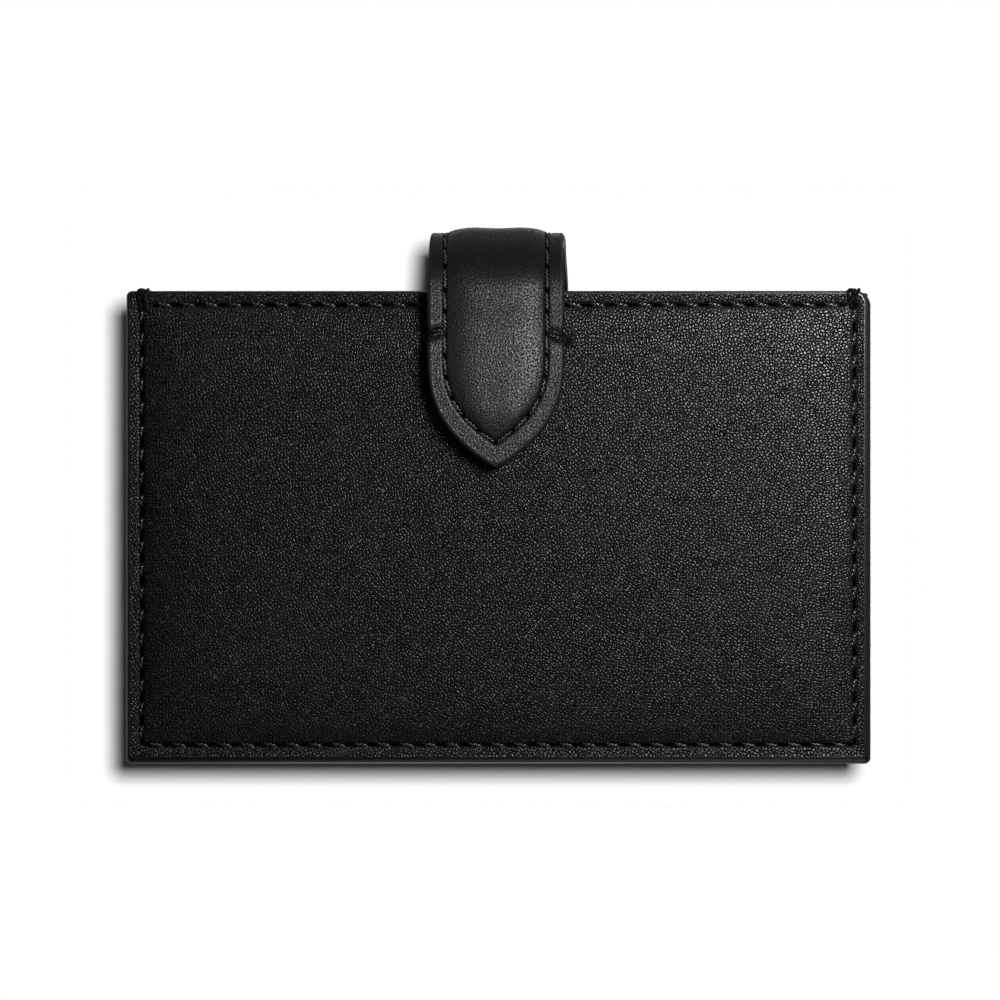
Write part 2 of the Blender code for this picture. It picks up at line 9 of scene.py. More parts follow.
import bpy
import numpy as np
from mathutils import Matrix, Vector


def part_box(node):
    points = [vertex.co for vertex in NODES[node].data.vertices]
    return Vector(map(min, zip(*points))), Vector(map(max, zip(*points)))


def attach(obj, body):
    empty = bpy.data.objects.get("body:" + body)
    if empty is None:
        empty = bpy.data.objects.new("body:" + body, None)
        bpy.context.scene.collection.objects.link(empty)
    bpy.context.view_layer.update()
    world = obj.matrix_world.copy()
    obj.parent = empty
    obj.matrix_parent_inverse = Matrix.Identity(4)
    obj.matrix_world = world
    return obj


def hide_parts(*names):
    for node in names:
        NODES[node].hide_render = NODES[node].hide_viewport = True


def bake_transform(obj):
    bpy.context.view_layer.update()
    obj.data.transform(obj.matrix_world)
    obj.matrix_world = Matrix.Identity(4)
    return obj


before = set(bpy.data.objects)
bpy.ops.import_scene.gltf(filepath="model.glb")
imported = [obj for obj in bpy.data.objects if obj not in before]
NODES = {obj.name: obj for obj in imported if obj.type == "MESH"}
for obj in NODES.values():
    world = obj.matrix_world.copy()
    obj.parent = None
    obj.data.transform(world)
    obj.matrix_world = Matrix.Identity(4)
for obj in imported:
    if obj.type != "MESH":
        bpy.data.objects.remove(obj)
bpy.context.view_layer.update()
MM = 0.001
MIDDLE_Y = (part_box("back_board")[0].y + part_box("front_board")[1].y) / 2
BACK, FRONT = -1, 1

# %% [markdown]
# ## Helpers for meshes
# Every surface here is worked out as an array of points. A closed solid is two grids of the same
# shape, an outer and an inner one, joined around their borders. That is quick to write for anything
# made of sheet, which is what a leather case is.


# %% Grids, solids and tubes
def grid_of(x, y, z):
    """Points from three coordinates that broadcast to one shape."""
    return np.stack(np.broadcast_arrays(x, y, z), -1)


def slab(outer, inner):
    """Points and faces of a closed solid between two grids (rows, columns, 3) of the same shape."""
    rows, columns = outer.shape[:2]
    a = np.arange(rows * columns).reshape(rows, columns)
    b = a + rows * columns
    loop = np.concatenate([a[0, :-1], a[:-1, -1], a[-1, :0:-1], a[:0:-1, 0]])
    other = loop + rows * columns
    faces = [np.stack([a[:-1, :-1], a[:-1, 1:], a[1:, 1:], a[1:, :-1]], -1).reshape(-1, 4),
             np.stack([b[:-1, :-1], b[1:, :-1], b[1:, 1:], b[:-1, 1:]], -1).reshape(-1, 4),
             np.stack([np.roll(loop, -1), loop, other, np.roll(other, -1)], -1)]
    return np.concatenate([outer.reshape(-1, 3), inner.reshape(-1, 3)]), np.concatenate(faces)


def volume(points, faces):
    """Signed volume: the sum over triangles of a . (b x c) / 6."""
    total = 0.0
    for k in range(1, faces.shape[1] - 1):
        a, b, c = points[faces[:, 0]], points[faces[:, k]], points[faces[:, k + 1]]
        total += (a * np.cross(b, c)).sum() / 6
    return total


def new_object(name, data):
    item = bpy.data.objects.new(name, data)
    bpy.context.scene.collection.objects.link(item)
    return item


def make_piece(name, points, faces, material, sharp=38, caps=(), uv=None, plan=None, **marks):
    """A mesh object in metres, its faces outwards; marks are one number per point for materials.

    sharp is the angle in degrees past which an edge isn't shaded round. plan gives every point its
    place on the flat hide, which becomes the UV map that grain follows."""
    flip = volume(points, faces) < 0
    faces = faces[:, ::-1] if flip else faces
    mesh = bpy.data.meshes.new(name)
    world = points * MM + (0, MIDDLE_Y, 0)
    ends = [list(cap)[::-1] if flip else list(cap) for cap in caps]
    mesh.from_pydata(world, [], faces.tolist() + ends)
    for mark, values in marks.items():
        layer = mesh.attributes.new(mark, "FLOAT", "POINT")
        layer.data.foreach_set("value", np.asarray(values, np.float32).ravel())
    if uv is not None:
        corners = np.zeros((len(mesh.loops), 2), np.float32)
        corners[:faces.size] = (uv[:, ::-1] if flip else uv).reshape(-1, 2)
        mesh.uv_layers.new(name="thread").data.foreach_set("uv", corners.ravel())
    if plan is not None:
        at = np.zeros(len(mesh.loops), np.int32)
        mesh.loops.foreach_get("vertex_index", at)
        flat = (plan * MM)[at].astype(np.float32)
        mesh.uv_layers.new(name="hide").data.foreach_set("uv", flat.ravel())
    mesh.shade_smooth()
    mesh.set_sharp_from_angle(angle=math.radians(sharp))
    mesh.materials.append(material)
    return new_object(name, mesh)


def leather_shell(name, outer, inner, material, paint, hole, across, along):
    """A solid between two grids with the masks of its outer face, laid on the hide at across, along."""
    masks = {"edge_paint": np.concatenate([paint.ravel(), np.ones(paint.size)]),
             "painted_hole_shade": np.concatenate([hole.ravel(), np.zeros(hole.size)])}
    plan = np.tile(np.stack([across.ravel(), along.ravel()], 1), (2, 1))
    return make_piece(name, *slab(outer, inner), material, plan=plan, **masks)


PLY_TURN = 0.66


def tubes(name, centres, sideways, radius, material, sides=8):
    """Two-ply strands: centres is (strands, rings, 3), sideways the direction across each strand.

    The section is r * (1 + 0.25 cos(2 a - 2 pi u / PLY_TURN)): an oval that turns with the length u."""
    strands, rings = centres.shape[:2]
    ahead = np.gradient(centres, axis=1)
    ahead /= np.linalg.norm(ahead, axis=2, keepdims=True)
    across = np.broadcast_to(sideways, centres.shape)
    across = across - ahead * (across * ahead).sum(2, keepdims=True)
    across = across / np.linalg.norm(across, axis=2, keepdims=True)
    up = np.cross(across, ahead)
    turn = np.arange(sides) * 2 * np.pi / sides
    steps = np.linalg.norm(np.diff(centres, axis=1), axis=2)
    reach = np.concatenate([np.zeros((strands, 1)), np.cumsum(steps, 1)], 1)
    ply = 1 + 0.25 * np.cos(2 * turn - 2 * np.pi * reach[:, :, None] / PLY_TURN)
    thick = (np.broadcast_to(radius, (strands, rings))[:, :, None] * ply)[..., None]
    points = centres[:, :, None] + thick * (across[:, :, None] * np.cos(turn)[:, None]
                                            + up[:, :, None] * np.sin(turn)[:, None])
    at = np.arange(strands * rings * sides).reshape(strands, rings, sides)
    nxt = np.roll(at, -1, 2)
    faces = np.stack([at[:, :-1], nxt[:, :-1], nxt[:, 1:], at[:, 1:]], -1).reshape(-1, 4)
    u = np.broadcast_to(reach[:, :, None], at.shape)
    v = np.broadcast_to(np.arange(sides) / sides, at.shape)
    near, far = (u[:, :-1], v[:, :-1]), (u[:, 1:], v[:, 1:])
    corners = [(near, 0), (near, 1 / sides), (far, 1 / sides), (far, 0)]
    uv = np.stack([np.stack([u, v + step], -1) for (u, v), step in corners], 3)
    caps = list(at[:, 0, ::-1]) + list(at[:, -1])
    return make_piece(name, points.reshape(-1, 3), faces, material, 60, caps,
                      uv.reshape(len(faces), 4, 2))


def dress(piece, body, slot, *replaced):
    """Hang a finished piece on its body and hide the nodes it stands for; slot is not used."""
    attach(piece, body)
    if replaced:
        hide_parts(*replaced)
    return piece


def smooth_step(value, low, high):
    """0 below low, 1 above high, and an even ease in between."""
    t = np.clip((value - low) / (high - low), 0, 1)
    return t * t * (3 - 2 * t)


# %% [markdown]
# ## Materials
# Black leather is hard to show: almost all that one sees is its sheen. So the grain has to work on
# the light twice, as bumps that break the sheen and as creases between its pebbles that have none.
# A real crease is dark because light is caught in it, which a bump can't do. A black metal has no
# sheen of its own, so the mask of the creases also feeds Metallic, over a nearly black base colour.
# The grain is a Voronoi pattern whose cells are bent a little by noise, in a node group that every
# leather uses with its own cell size. On the panels and the strap it is drawn flat, on the hide from
# which the piece was cut, because a flat pattern has a crease of one width round every pebble. The
# thin linings and gussets take it from the space they are in. Masks painted on the mesh say where
# the edge paint is, and where holes, seam grooves and the tacks' pits and pinches get painted shade.


# %% Node helpers
def feed(tree, made, inputs):
    """Link a node's inputs to the sockets given for them, or set them to the numbers."""
    for key, value in inputs.items():
        if isinstance(value, bpy.types.NodeSocket):
            tree.links.new(value, made.inputs[key])
        else:
            made.inputs[key].default_value = value


def node(tree, kind, inputs, **settings):
    """A shader node with its settings made and its inputs fed."""
    made = tree.nodes.new(kind)
    for key, value in settings.items():
        setattr(made, key, value)
    feed(tree, made, inputs)
    return made


def sums(tree, operation, a, b=0.0, c=0.0):
    return node(tree, "ShaderNodeMath", {0: a, 1: b, 2: c}, operation=operation).outputs[0]


def ramp(tree, value, low, high, start=0.0, end=1.0):
    return node(tree, "ShaderNodeMapRange", {"Value": value, "From Min": low, "From Max": high,
                                             "To Min": start, "To Max": end},
                interpolation_type="SMOOTHSTEP").outputs["Result"]


def mixed(tree, share, a, b, kind="RGBA"):
    first = 6 if kind == "RGBA" else 2
    made = node(tree, "ShaderNodeMix", {0: share, first: a, first + 1: b}, data_type=kind)
    return made.outputs[2 if kind == "RGBA" else 0]


def vectors(tree, operation, a, b=(0, 0, 0), c=(0, 0, 0)):
    return node(tree, "ShaderNodeVectorMath", {0: a, 1: b, 2: c}, operation=operation).outputs


def noise(tree, where, scale, detail=2.0):
    return node(tree, "ShaderNodeTexNoise", {"Vector": where, "Scale": scale, "Detail": detail}).outputs


def new_material(name):
    """A material, its node tree and its Principled shader."""
    material = bpy.data.materials.new(name)
    material.use_nodes = True
    return material, material.node_tree, material.node_tree.nodes["Principled BSDF"]


def shade(colour, share=1.0):
    return (*(part * share for part in colour), 1)


def relief(tree, height, depth):
    """The normal of a bump on which a height of 1 is that many metres."""
    return node(tree, "ShaderNodeBump", {"Height": height, "Distance": depth}).outputs["Normal"]


# %% The grain group
BEND_SCALE, PATCH_SCALE, WIDTH_SCALE, FINE_SCALE, SLOW_SCALE = 1100.0, 420.0, 1900.0, 5200.0, 75.0
BEND, CENTRED = 0.00028, (0.5, 0.5, 0.5)


def make_grain_group(name, dimensions):
    """Leather grain: pebbles, the creases between them, pores and slow mottling.

    A pebble is a dome that leans its own way: its height is a ramp from the crease, plus the dot
    product of a chance direction and the place in the cell. A crease is widest at the corners of
    three pebbles, and fades where a slow noise is low."""
    group = bpy.data.node_groups.new(name, "ShaderNodeTree")
    group.interface.new_socket("Vector", in_out="INPUT", socket_type="NodeSocketVector")
    for socket in ("Pebbles per metre", "Crease width", "Pores", "Pores per metre", "Tilt"):
        group.interface.new_socket(socket, in_out="INPUT", socket_type="NodeSocketFloat")
    for socket in ("Height", "Crease", "Mottle", "Pebble"):
        group.interface.new_socket(socket, in_out="OUTPUT", socket_type="NodeSocketFloat")
    given = group.nodes.new("NodeGroupInput").outputs
    where = given["Vector"]

    def cells(scale, **settings):
        return node(group, "ShaderNodeTexVoronoi", {"Vector": moved, "Scale": scale},
                    voronoi_dimensions=dimensions, **settings).outputs

    bend = vectors(group, "SUBTRACT", noise(group, where, BEND_SCALE)["Color"], CENTRED)[0]
    moved = vectors(group, "MULTIPLY_ADD", bend, (BEND,) * 3, where)[0]
    edges = cells(given["Pebbles per metre"], feature="DISTANCE_TO_EDGE")["Distance"]
    pebble = cells(given["Pebbles per metre"])
    lean = vectors(group, "SUBTRACT", pebble["Color"], CENTRED)[0]
    local = vectors(group, "SUBTRACT", moved, pebble["Position"])[0]
    tilt = vectors(group, "DOT_PRODUCT", lean, local)["Value"]
    chance = node(group, "ShaderNodeSeparateXYZ", {0: pebble["Color"]}).outputs[0]
    uneven = ramp(group, noise(group, where, WIDTH_SCALE)["Fac"], 0.3, 0.7, 0.75, 1.3)
    width = sums(group, "MULTIPLY", given["Crease width"], uneven)
    corners = sums(group, "MULTIPLY", ramp(group, pebble["Distance"], 0.56, 1.0),
                   ramp(group, given["Crease width"], 0.1, 0.2))
    reach = sums(group, "MAXIMUM", ramp(group, edges, 0.0, width, 1.0, 0.0), corners)
    patchy = ramp(group, noise(group, where, PATCH_SCALE, 3.0)["Fac"], 0.3, 0.62, 0.8, 1.0)
    crease = sums(group, "MULTIPLY", reach, patchy)
    dots = cells(given["Pores per metre"])["Distance"]
    pores = sums(group, "MULTIPLY", ramp(group, dots, 0.08, 0.34, 1.0, 0.0), given["Pores"])
    slow = noise(group, where, SLOW_SCALE, 5.0)["Fac"]
    height = sums(group, "MULTIPLY_ADD", reach, -0.75, ramp(group, edges, 0.0, 0.5, 0.0, 0.5))
    height = sums(group, "MULTIPLY_ADD", noise(group, where, FINE_SCALE, 3.0)["Fac"], 0.22, height)
    height = sums(group, "MULTIPLY_ADD", tilt, given["Tilt"], height)
    height = sums(group, "SUBTRACT", height, pores)
    height = sums(group, "MULTIPLY_ADD", slow, 1.5, height)
    feed(group, group.nodes.new("NodeGroupOutput"),
         {"Height": height, "Crease": sums(group, "MAXIMUM", crease, pores), "Mottle": slow,
          "Pebble": chance})
    return group


GRAIN = {"hide": make_grain_group("grain_on_hide", "2D"),
         None: make_grain_group("grain_in_space", "3D")}
HOLE_SHADE_BLACK = (0.0004, 0.0004, 0.0004, 1)


def leather(name, colour, pebbles, crease_width, pores, roughness, depth, tilt=0.0, specular=0.5,
            crease_dark=0.2, pore_scale=3300.0, cavity=0.5, paint_rough=0.36, flat=None):
    """Grained leather whose painted edges and painted hole shade come from the masks on its mesh.

    cavity says how much of the sheen a crease swallows: its Metallic over its black base colour, a
    painted shade. crease_dark is the share of its colour left in a crease or pore, also painted shade."""
    material, tree, shader = new_material(name)
    if flat:
        where = node(tree, "ShaderNodeUVMap", {}, uv_map=flat).outputs[0]
    else:
        where = node(tree, "ShaderNodeTexCoord", {}).outputs["Object"]
    grain = node(tree, "ShaderNodeGroup", {}, node_tree=GRAIN[flat])
    feed(tree, grain, {"Vector": where, "Pebbles per metre": pebbles, "Crease width": crease_width,
                       "Pores": pores, "Pores per metre": pore_scale, "Tilt": tilt})
    crease, mottle = grain.outputs["Crease"], grain.outputs["Mottle"]
    paint, hole = (node(tree, "ShaderNodeAttribute", {}, attribute_name=mask).outputs["Fac"]
                   for mask in ("edge_paint", "painted_hole_shade"))
    bare = sums(tree, "SUBTRACT", 1.0, paint)
    tone = mixed(tree, ramp(tree, mottle, 0.3, 0.7), shade(colour, 0.82), shade(colour, 1.18))
    # Creases and pores get a painted shade: a share of the leather's colour, and Metallic below that
    # swallows their sheen.
    tone = mixed(tree, crease, tone, shade(colour, crease_dark))
    tone = mixed(tree, paint, tone, shade(colour, 0.9))
    rough = sums(tree, "MULTIPLY_ADD", grain.outputs["Pebble"], 0.1, roughness - 0.1)
    rough = sums(tree, "MULTIPLY_ADD", mottle, 0.1, rough)
    rough = mixed(tree, crease, rough, 1.0, "FLOAT")
    rough = mixed(tree, paint, rough, paint_rough, "FLOAT")
    swallowed = sums(tree, "MULTIPLY", sums(tree, "MULTIPLY", crease, cavity), bare)
    height = sums(tree, "MULTIPLY", grain.outputs["Height"], bare)
    # Holes, seam grooves and the tacks' pits and pinches get a painted black shade: near-black colour,
    # full roughness and Metallic.
    feed(tree, shader, {"Base Color": mixed(tree, hole, tone, HOLE_SHADE_BLACK),
                        "Roughness": mixed(tree, hole, rough, 0.95, "FLOAT"),
                        "Metallic": sums(tree, "MAXIMUM", swallowed, hole),
                        "Normal": relief(tree, height, depth), "Specular IOR Level": specular})
    return material


PANEL_LEATHER = leather("panel leather", (0.0045, 0.0045, 0.0046), 2250.0, 0.28, 0.0, 0.35, 0.00005,
                        tilt=1150.0, crease_dark=0.05, cavity=1.0, paint_rough=0.3, flat="hide")
STRAP_LEATHER = leather("strap leather", (0.0085, 0.0085, 0.0086), 2300.0, 0.05, 0.8, 0.4, 0.00003,
                        tilt=900.0, specular=0.85, pore_scale=2400.0, cavity=0.6, paint_rough=0.6,
                        flat="hide")
LINING_LEATHER = leather("lining leather", (0.012, 0.012, 0.0122), 2600.0, 0.1, 0.4, 0.5, 0.00002)
GUSSET_LEATHER = leather("gusset leather", (0.011, 0.011, 0.0112), 2600.0, 0.12, 0.3, 0.45, 0.00003)


# %% Thread, board, foam and metal
def make_thread(name, light, low, high, roughness, specular):
    """Waxed two-ply thread: a painted shade where the turning oval of its section is narrow.

    low and high bound the wave from the groove's painted shade to the ply's colour, light."""
    material, tree, shader = new_material(name)
    place = node(tree, "ShaderNodeUVMap", {}, uv_map="thread").outputs[0]
    along, around = node(tree, "ShaderNodeSeparateXYZ", {0: place}).outputs[:2]
    turned = sums(tree, "MULTIPLY", along, -2 * math.pi / PLY_TURN)
    wave = sums(tree, "COSINE", sums(tree, "MULTIPLY_ADD", around, 4 * math.pi, turned))
    ply = ramp(tree, wave, low, high)
    feed(tree, shader, {"Base Color": mixed(tree, ply, shade((0.001,) * 3), shade((light,) * 3)),
                        "Normal": relief(tree, ply, 0.00008), "Roughness": roughness,
                        "Specular IOR Level": specular})
    return material


def make_speckled(name, dark, light, scale, roughness, depth, metallic=0.0):
    """A plain solid stuff: noise between two colours, with a little relief."""
    material, tree, shader = new_material(name)
    where = node(tree, "ShaderNodeTexCoord", {}).outputs["Object"]
    speckle = noise(tree, where, scale, 5.0)["Fac"]
    feed(tree, shader, {
        "Base Color": mixed(tree, ramp(tree, speckle, 0.3, 0.7), shade(dark), shade(light)),
        "Roughness": ramp(tree, speckle, 0.3, 0.7, roughness * 0.85, roughness * 1.15),
        "Normal": relief(tree, speckle, depth), "Metallic": metallic})
    return material


# The plies' dark grooves are painted shade, and the fine thread's light of 0.2 paints glints on a black
# thread.
THREAD = make_thread("waxed thread", 0.022, -0.7, 0.5, 0.32, 0.75)
GLINT_PAINTED_THREAD = make_thread("fine waxed thread with painted glints", 0.2, -0.2, 0.9, 0.3, 1.0)
BOARD = make_speckled("stiffening board", (0.24, 0.21, 0.17), (0.36, 0.33, 0.27), 900.0, 0.85, 0.00004)
FOAM = make_speckled("foam", (0.48, 0.47, 0.43), (0.62, 0.61, 0.57), 2600.0, 0.9, 0.0001)
SNAP_METAL = make_speckled("nickel", (0.50, 0.49, 0.47), (0.60, 0.59, 0.57), 260.0, 0.24, 0.000002, 1.0)

# %% [markdown]
# ## Seams
# A seam is a path on the leather. Everything near it depends on two numbers: how far along the seam
# a point is, and how far off it. With these the leather sinks in a soft groove under the thread and
# in a short slot between two stitches, and the same path then places the threads.


# %% Measuring along a path
def measured(path):
    """Length of a path of straight steps up to each of its points."""
    return np.concatenate([[0.0], np.cumsum(np.hypot(*np.diff(path, axis=0).T))])


def at_length(path, reach, s):
    """The points of a path at the lengths s, where reach is the length up to each of its points."""
    return np.stack([np.interp(s, reach, path[:, k]) for k in (0, 1)], -1)


def along_path(points, path):
    """Arc length and distance of the nearest place on a path, for many points."""
    start, step = path[:-1], np.diff(path, axis=0)
    length, reach = np.hypot(*step.T), measured(path)
    gap = points[:, None, :] - start[None]
    share = np.clip((gap * step).sum(2) / length ** 2, 0, 1)
    away = np.linalg.norm(gap - share[..., None] * step, axis=2)
    best = away.argmin(1)
    rows = np.arange(len(points))
    return reach[best] + share[rows, best] * length[best], away[rows, best]


def stitch_count(path, pitch):
    return max(int(round(measured(path)[-1] / pitch)), 1)


def seam_marks(points, paths, pitch, groove, slot, spread, gap, dark):
    """How deep the leather sinks near the seams, and how much painted hole shade each point gets.

    gap is the share of a stitch from the middle of a hole to where its slot starts and stops to
    close, and dark is how much of a hole's painted black shade the groove under the thread gets."""
    sink, hole = np.zeros(len(points)), np.zeros(len(points))
    for path in paths:
        along, off = along_path(points, path)
        phase = along / measured(path)[-1] * stitch_count(path, pitch) % 1.0
        gate = 1 - smooth_step(np.minimum(phase, 1 - phase), *gap)
        sink = np.maximum(sink, groove * np.exp(-(off / spread) ** 2)
                          + slot * gate * np.exp(-(off / 0.19) ** 2))
        hole = np.maximum(hole, np.clip(1.7 * gate * np.exp(-(off / 0.2) ** 2), 0, 1))
        hole = np.maximum(hole, dark * np.exp(-(off / 0.34) ** 4))
    return sink, hole


# %% Laying the stitches
THREAD_RADIUS = 0.24


def stitch_lines(paths, pitch, slant, share=0.6, rings=21):
    """Pattern points (stitches, rings, 2) of every thread, its way across, and its height profile."""
    lines, ways = [], []
    turn, step = math.radians(slant), 0.3
    slanted = np.array([[math.cos(turn), math.sin(turn)], [-math.sin(turn), math.cos(turn)]])
    t = np.linspace(-0.5, 0.5, rings)[None, :, None]
    for path in paths:
        count, reach = stitch_count(path, pitch), measured(path)
        middle = (np.arange(count) + 0.5) * reach[-1] / count
        ahead = at_length(path, reach, middle + step) - at_length(path, reach, middle - step)
        ahead = ahead / np.linalg.norm(ahead, axis=1, keepdims=True) @ slanted
        lines.append(at_length(path, reach, middle)[:, None]
                     + ahead[:, None] * t * share * reach[-1] / count)
        ways.append(np.broadcast_to(np.stack([-ahead[:, 1], ahead[:, 0]], 1)[:, None],
                                    lines[-1].shape))
    u = np.linspace(-1, 1, rings)
    lift = 0.13 - 0.5 * u ** 6
    thick = THREAD_RADIUS * (1 - 0.35 * u ** 4)
    return np.concatenate(lines), np.concatenate(ways), lift, thick


# %% [markdown]
# ## The two outer panels
# Each panel is leather over a thin foam lens: flat along the sewn margins and softly domed inside
# them. The dome is a product of three cubic eases, one from the side, one from below and one from
# above. The margin rolls over into a painted edge, whose roll is a quarter circle.

# %% Panel shape
WIDTH, HEIGHT = 104.2, 66.2
FACE, LEATHER_IN = 9.1, 8.0
CROWN, SHOULDER, PUFF = 0.9, 14.0, 0.28
LEFT_SEAM, RIGHT_SEAM, LOW_SEAM, TOP_SEAM = -50.0, 49.8, 2.6, 64.2
RIM_LEFT, RIM_RIGHT, RIM_LOW, RIM_TOP = 0.36, 0.8, 0.82, 0.3
RIM_DEPTH, RIM_BACK = 1.25, 7.71
CORNER, WORN_CORNER = 0.8, 2.1
TACKS = ((-1, 60.1, 4), (1, 59.7, 3))
TACK_HOLE_X, STRAP_DRIFT = 10.0, -0.36
STITCH = 3.18


def eased(distance):
    """Rises from 0 at a seam to 1 where the shoulder ends: 1 - (1 - t)^3."""
    return 1 - (1 - np.clip(distance / SHOULDER, 0, 1)) ** 3


def crown(x, z):
    """The dome of the padded face over its flat margins."""
    beside = np.minimum(x - LEFT_SEAM, RIGHT_SEAM - x)
    rise, puff = CROWN, PUFF
    for distance in (beside, z - LOW_SEAM, TOP_SEAM - z):
        rise = rise * eased(distance)
        puff = puff * (1 - np.exp(-np.maximum(distance, 0) / 1.3))
    return rise + puff


def outline_distance(x, z):
    """Distance to the rounded outline, measured to an arc within each corner's square."""
    dx = np.minimum(x + WIDTH / 2, WIDTH / 2 - x)
    dz = np.minimum(z, HEIGHT - z)
    radius = np.where((x > 0) & (z > HEIGHT / 2), WORN_CORNER, CORNER)
    inside = (dx < radius) & (dz < radius)
    return np.where(inside, radius - np.hypot(radius - dx, radius - dz), np.minimum(dx, dz))


def corner_inset(z, top_radius):
    """How far the outline draws in beside a rounded corner."""
    radius = np.where(z < HEIGHT / 2, CORNER, top_radius)
    reach = np.clip(radius - np.minimum(z, HEIGHT - z), 0, radius)
    return radius - np.sqrt(radius ** 2 - reach ** 2)


def rolled(edge, rim):
    """Drop of a quarter-round edge: rim - sqrt(rim^2 - (rim - edge)^2)."""
    near = np.clip(rim - edge, 0, rim)
    return rim - np.sqrt(rim ** 2 - near ** 2)


def rim_width(x, z):
    """Width of the painted edge: each side has its own, weighted by nearness to that side."""
    sides = np.stack([x + WIDTH / 2, WIDTH / 2 - x, z, HEIGHT - z])
    weight = np.exp(-np.maximum(sides, 0) / 0.5)
    widths = np.array([RIM_LEFT, RIM_RIGHT, RIM_LOW, RIM_TOP]).reshape(4, 1, 1)
    return (weight * widths).sum(0) / weight.sum(0)


ROLL = 1 - np.cos(np.radians([0, 15, 30, 45, 60, 75, 90]))


def marks_across(low, high, seams, rims):
    """Grid lines: close together on the roll, round the corners and at the seams.

    In between they are a sixth of a stitch apart."""
    near = np.linspace(-0.7, 0.7, 15)
    lip = np.linspace(-0.12, 0.2, 9)
    turn = np.linspace(0.05, 1.15, 12)
    marks = np.concatenate([low + rims[0] * ROLL, high - rims[1] * ROLL, low + rims[0] + lip,
                            high - rims[1] - lip, seams[0] + near, seams[1] + near, high - turn,
                            np.arange(low + rims[0] + 0.4, high - rims[1] - 0.4, STITCH / 6)])
    marks = np.unique(marks[(marks >= low) & (marks <= high)].round(3))
    keep = np.concatenate([[True], np.diff(marks) > 0.022])
    keep[-2:] = False, True
    return marks[keep]


SIDE_PATHS = [np.array([(LEFT_SEAM, HEIGHT - 1.9), (LEFT_SEAM, LOW_SEAM + 0.2)]),
              np.array([(LEFT_SEAM + 0.4, LOW_SEAM), (RIGHT_SEAM - 0.4, LOW_SEAM)]),
              np.array([(RIGHT_SEAM, LOW_SEAM + 0.2), (RIGHT_SEAM, HEIGHT - 1.9)])]
TOP_PATHS = [np.array([(LEFT_SEAM + 1.5, TOP_SEAM), (-9.0, TOP_SEAM)]),
             np.array([(9.0, TOP_SEAM), (RIGHT_SEAM - 1.5, TOP_SEAM)])]


def pits(x, z):
    """Where the strap's bar tacks go into the back panel: a round pit and its painted shade."""
    return sum(np.exp(-((x - STRAP_DRIFT - hand * TACK_HOLE_X) ** 2 + ((z - at + 0.6) / 1.3) ** 2)
                      / 0.62 ** 2) for hand, at, _ in TACKS)


def panel_face(x, z, side):
    """Outer face of a panel in mm from the case's middle, with its masks."""
    flat = np.stack([x.ravel(), z.ravel()], 1)
    sink, hole = seam_marks(flat, SIDE_PATHS + TOP_PATHS, STITCH, 0.24, 0.3, 0.34, (0.2, 0.32), 0.35)
    sink, hole = sink.reshape(x.shape), hole.reshape(x.shape)
    edge, rim = outline_distance(x, z), rim_width(x, z)
    paint = 1 - smooth_step(edge, rim + 0.04, rim + 0.18)
    lip = 0.08 * rim * np.exp(-((edge - rim - 0.05) / 0.12) ** 2)
    margin = 0.14 * (1 - smooth_step(edge - rim, 0, 1.6))
    drop = rolled(edge / rim, 1.0) * RIM_DEPTH
    y = FACE + crown(x, z) + margin + lip - drop - sink
    if side == BACK:
        # The tack pits sink the face and get a painted shade.
        y, hole = y - 0.5 * pits(x, z), np.maximum(hole, np.clip(pits(x, z) * 1.3, 0, 1))
    return y, paint, hole


# %% Build the panels
def make_panel(word, side, body):
    """The leather: its face, and an inner grid that follows the dome and closes under the roll."""
    across = marks_across(-WIDTH / 2, WIDTH / 2, (LEFT_SEAM, RIGHT_SEAM), (RIM_LEFT, RIM_RIGHT))
    upward = marks_across(0, HEIGHT, (LOW_SEAM, TOP_SEAM), (RIM_LOW, RIM_TOP))
    z = np.repeat(upward[:, None], len(across), 1)
    left = -WIDTH / 2 + corner_inset(upward, CORNER)[:, None]
    right = WIDTH / 2 - corner_inset(upward, WORN_CORNER)[:, None]
    x = left + (across[None] + WIDTH / 2) / WIDTH * (right - left)
    y, paint, hole = panel_face(x, z, side)
    edge = outline_distance(x, z)
    inside = RIM_BACK + (LEATHER_IN + crown(x, z) - RIM_BACK) * smooth_step(edge, 0.5, 1.3)
    outer, inner = (grid_of(x, side * h, z) for h in (y, inside))
    piece = leather_shell(word + "_panel_leather", outer, inner, PANEL_LEATHER, paint, hole, side * x, z)
    dress(piece, body, "panel_leather", word + "_leather")
    print(word, "panel", len(piece.data.polygons), "faces")


def make_panel_foam(word, side, body):
    """The lens under the leather: as wide as the dome, 0.3 mm clear of the leather."""
    x, z = np.meshgrid(np.linspace(-44, 44, 45), np.linspace(8, 58.2, 26))
    y = LEATHER_IN + 0.02 + np.maximum(crown(x, z) - 0.12, 0.02)
    outer, inner = (grid_of(x, side * h, z) for h in (y, LEATHER_IN + 0.01))
    piece = make_piece(word + "_foam", *slab(outer, inner), FOAM)
    dress(piece, body, "padding", word + "_padding")


def make_panel_stitches(word, side, body):
    """The threads of the five seams, each standing over the middle of its own groove."""
    lines, ways, lift, thick = stitch_lines(SIDE_PATHS + TOP_PATHS, STITCH, -9)
    y = panel_face(lines[..., 0], lines[..., 1], side)[0][:, lines.shape[1] // 2, None] + lift
    centres = grid_of(lines[..., 0], side * y, lines[..., 1])
    sideways = grid_of(ways[..., 0], 0.0, ways[..., 1])
    piece = tubes(word + "_seam_stitches", centres, sideways, thick, THREAD)
    dress(piece, body, "panel_leather")
    print(word, "stitches", len(lines))


SIDES = (("back", BACK), ("front", FRONT))
for word, side in SIDES:
    make_panel(word, side, word + "_panel")
    make_panel_foam(word, side, word + "_panel")
    make_panel_stitches(word, side, word + "_panel")

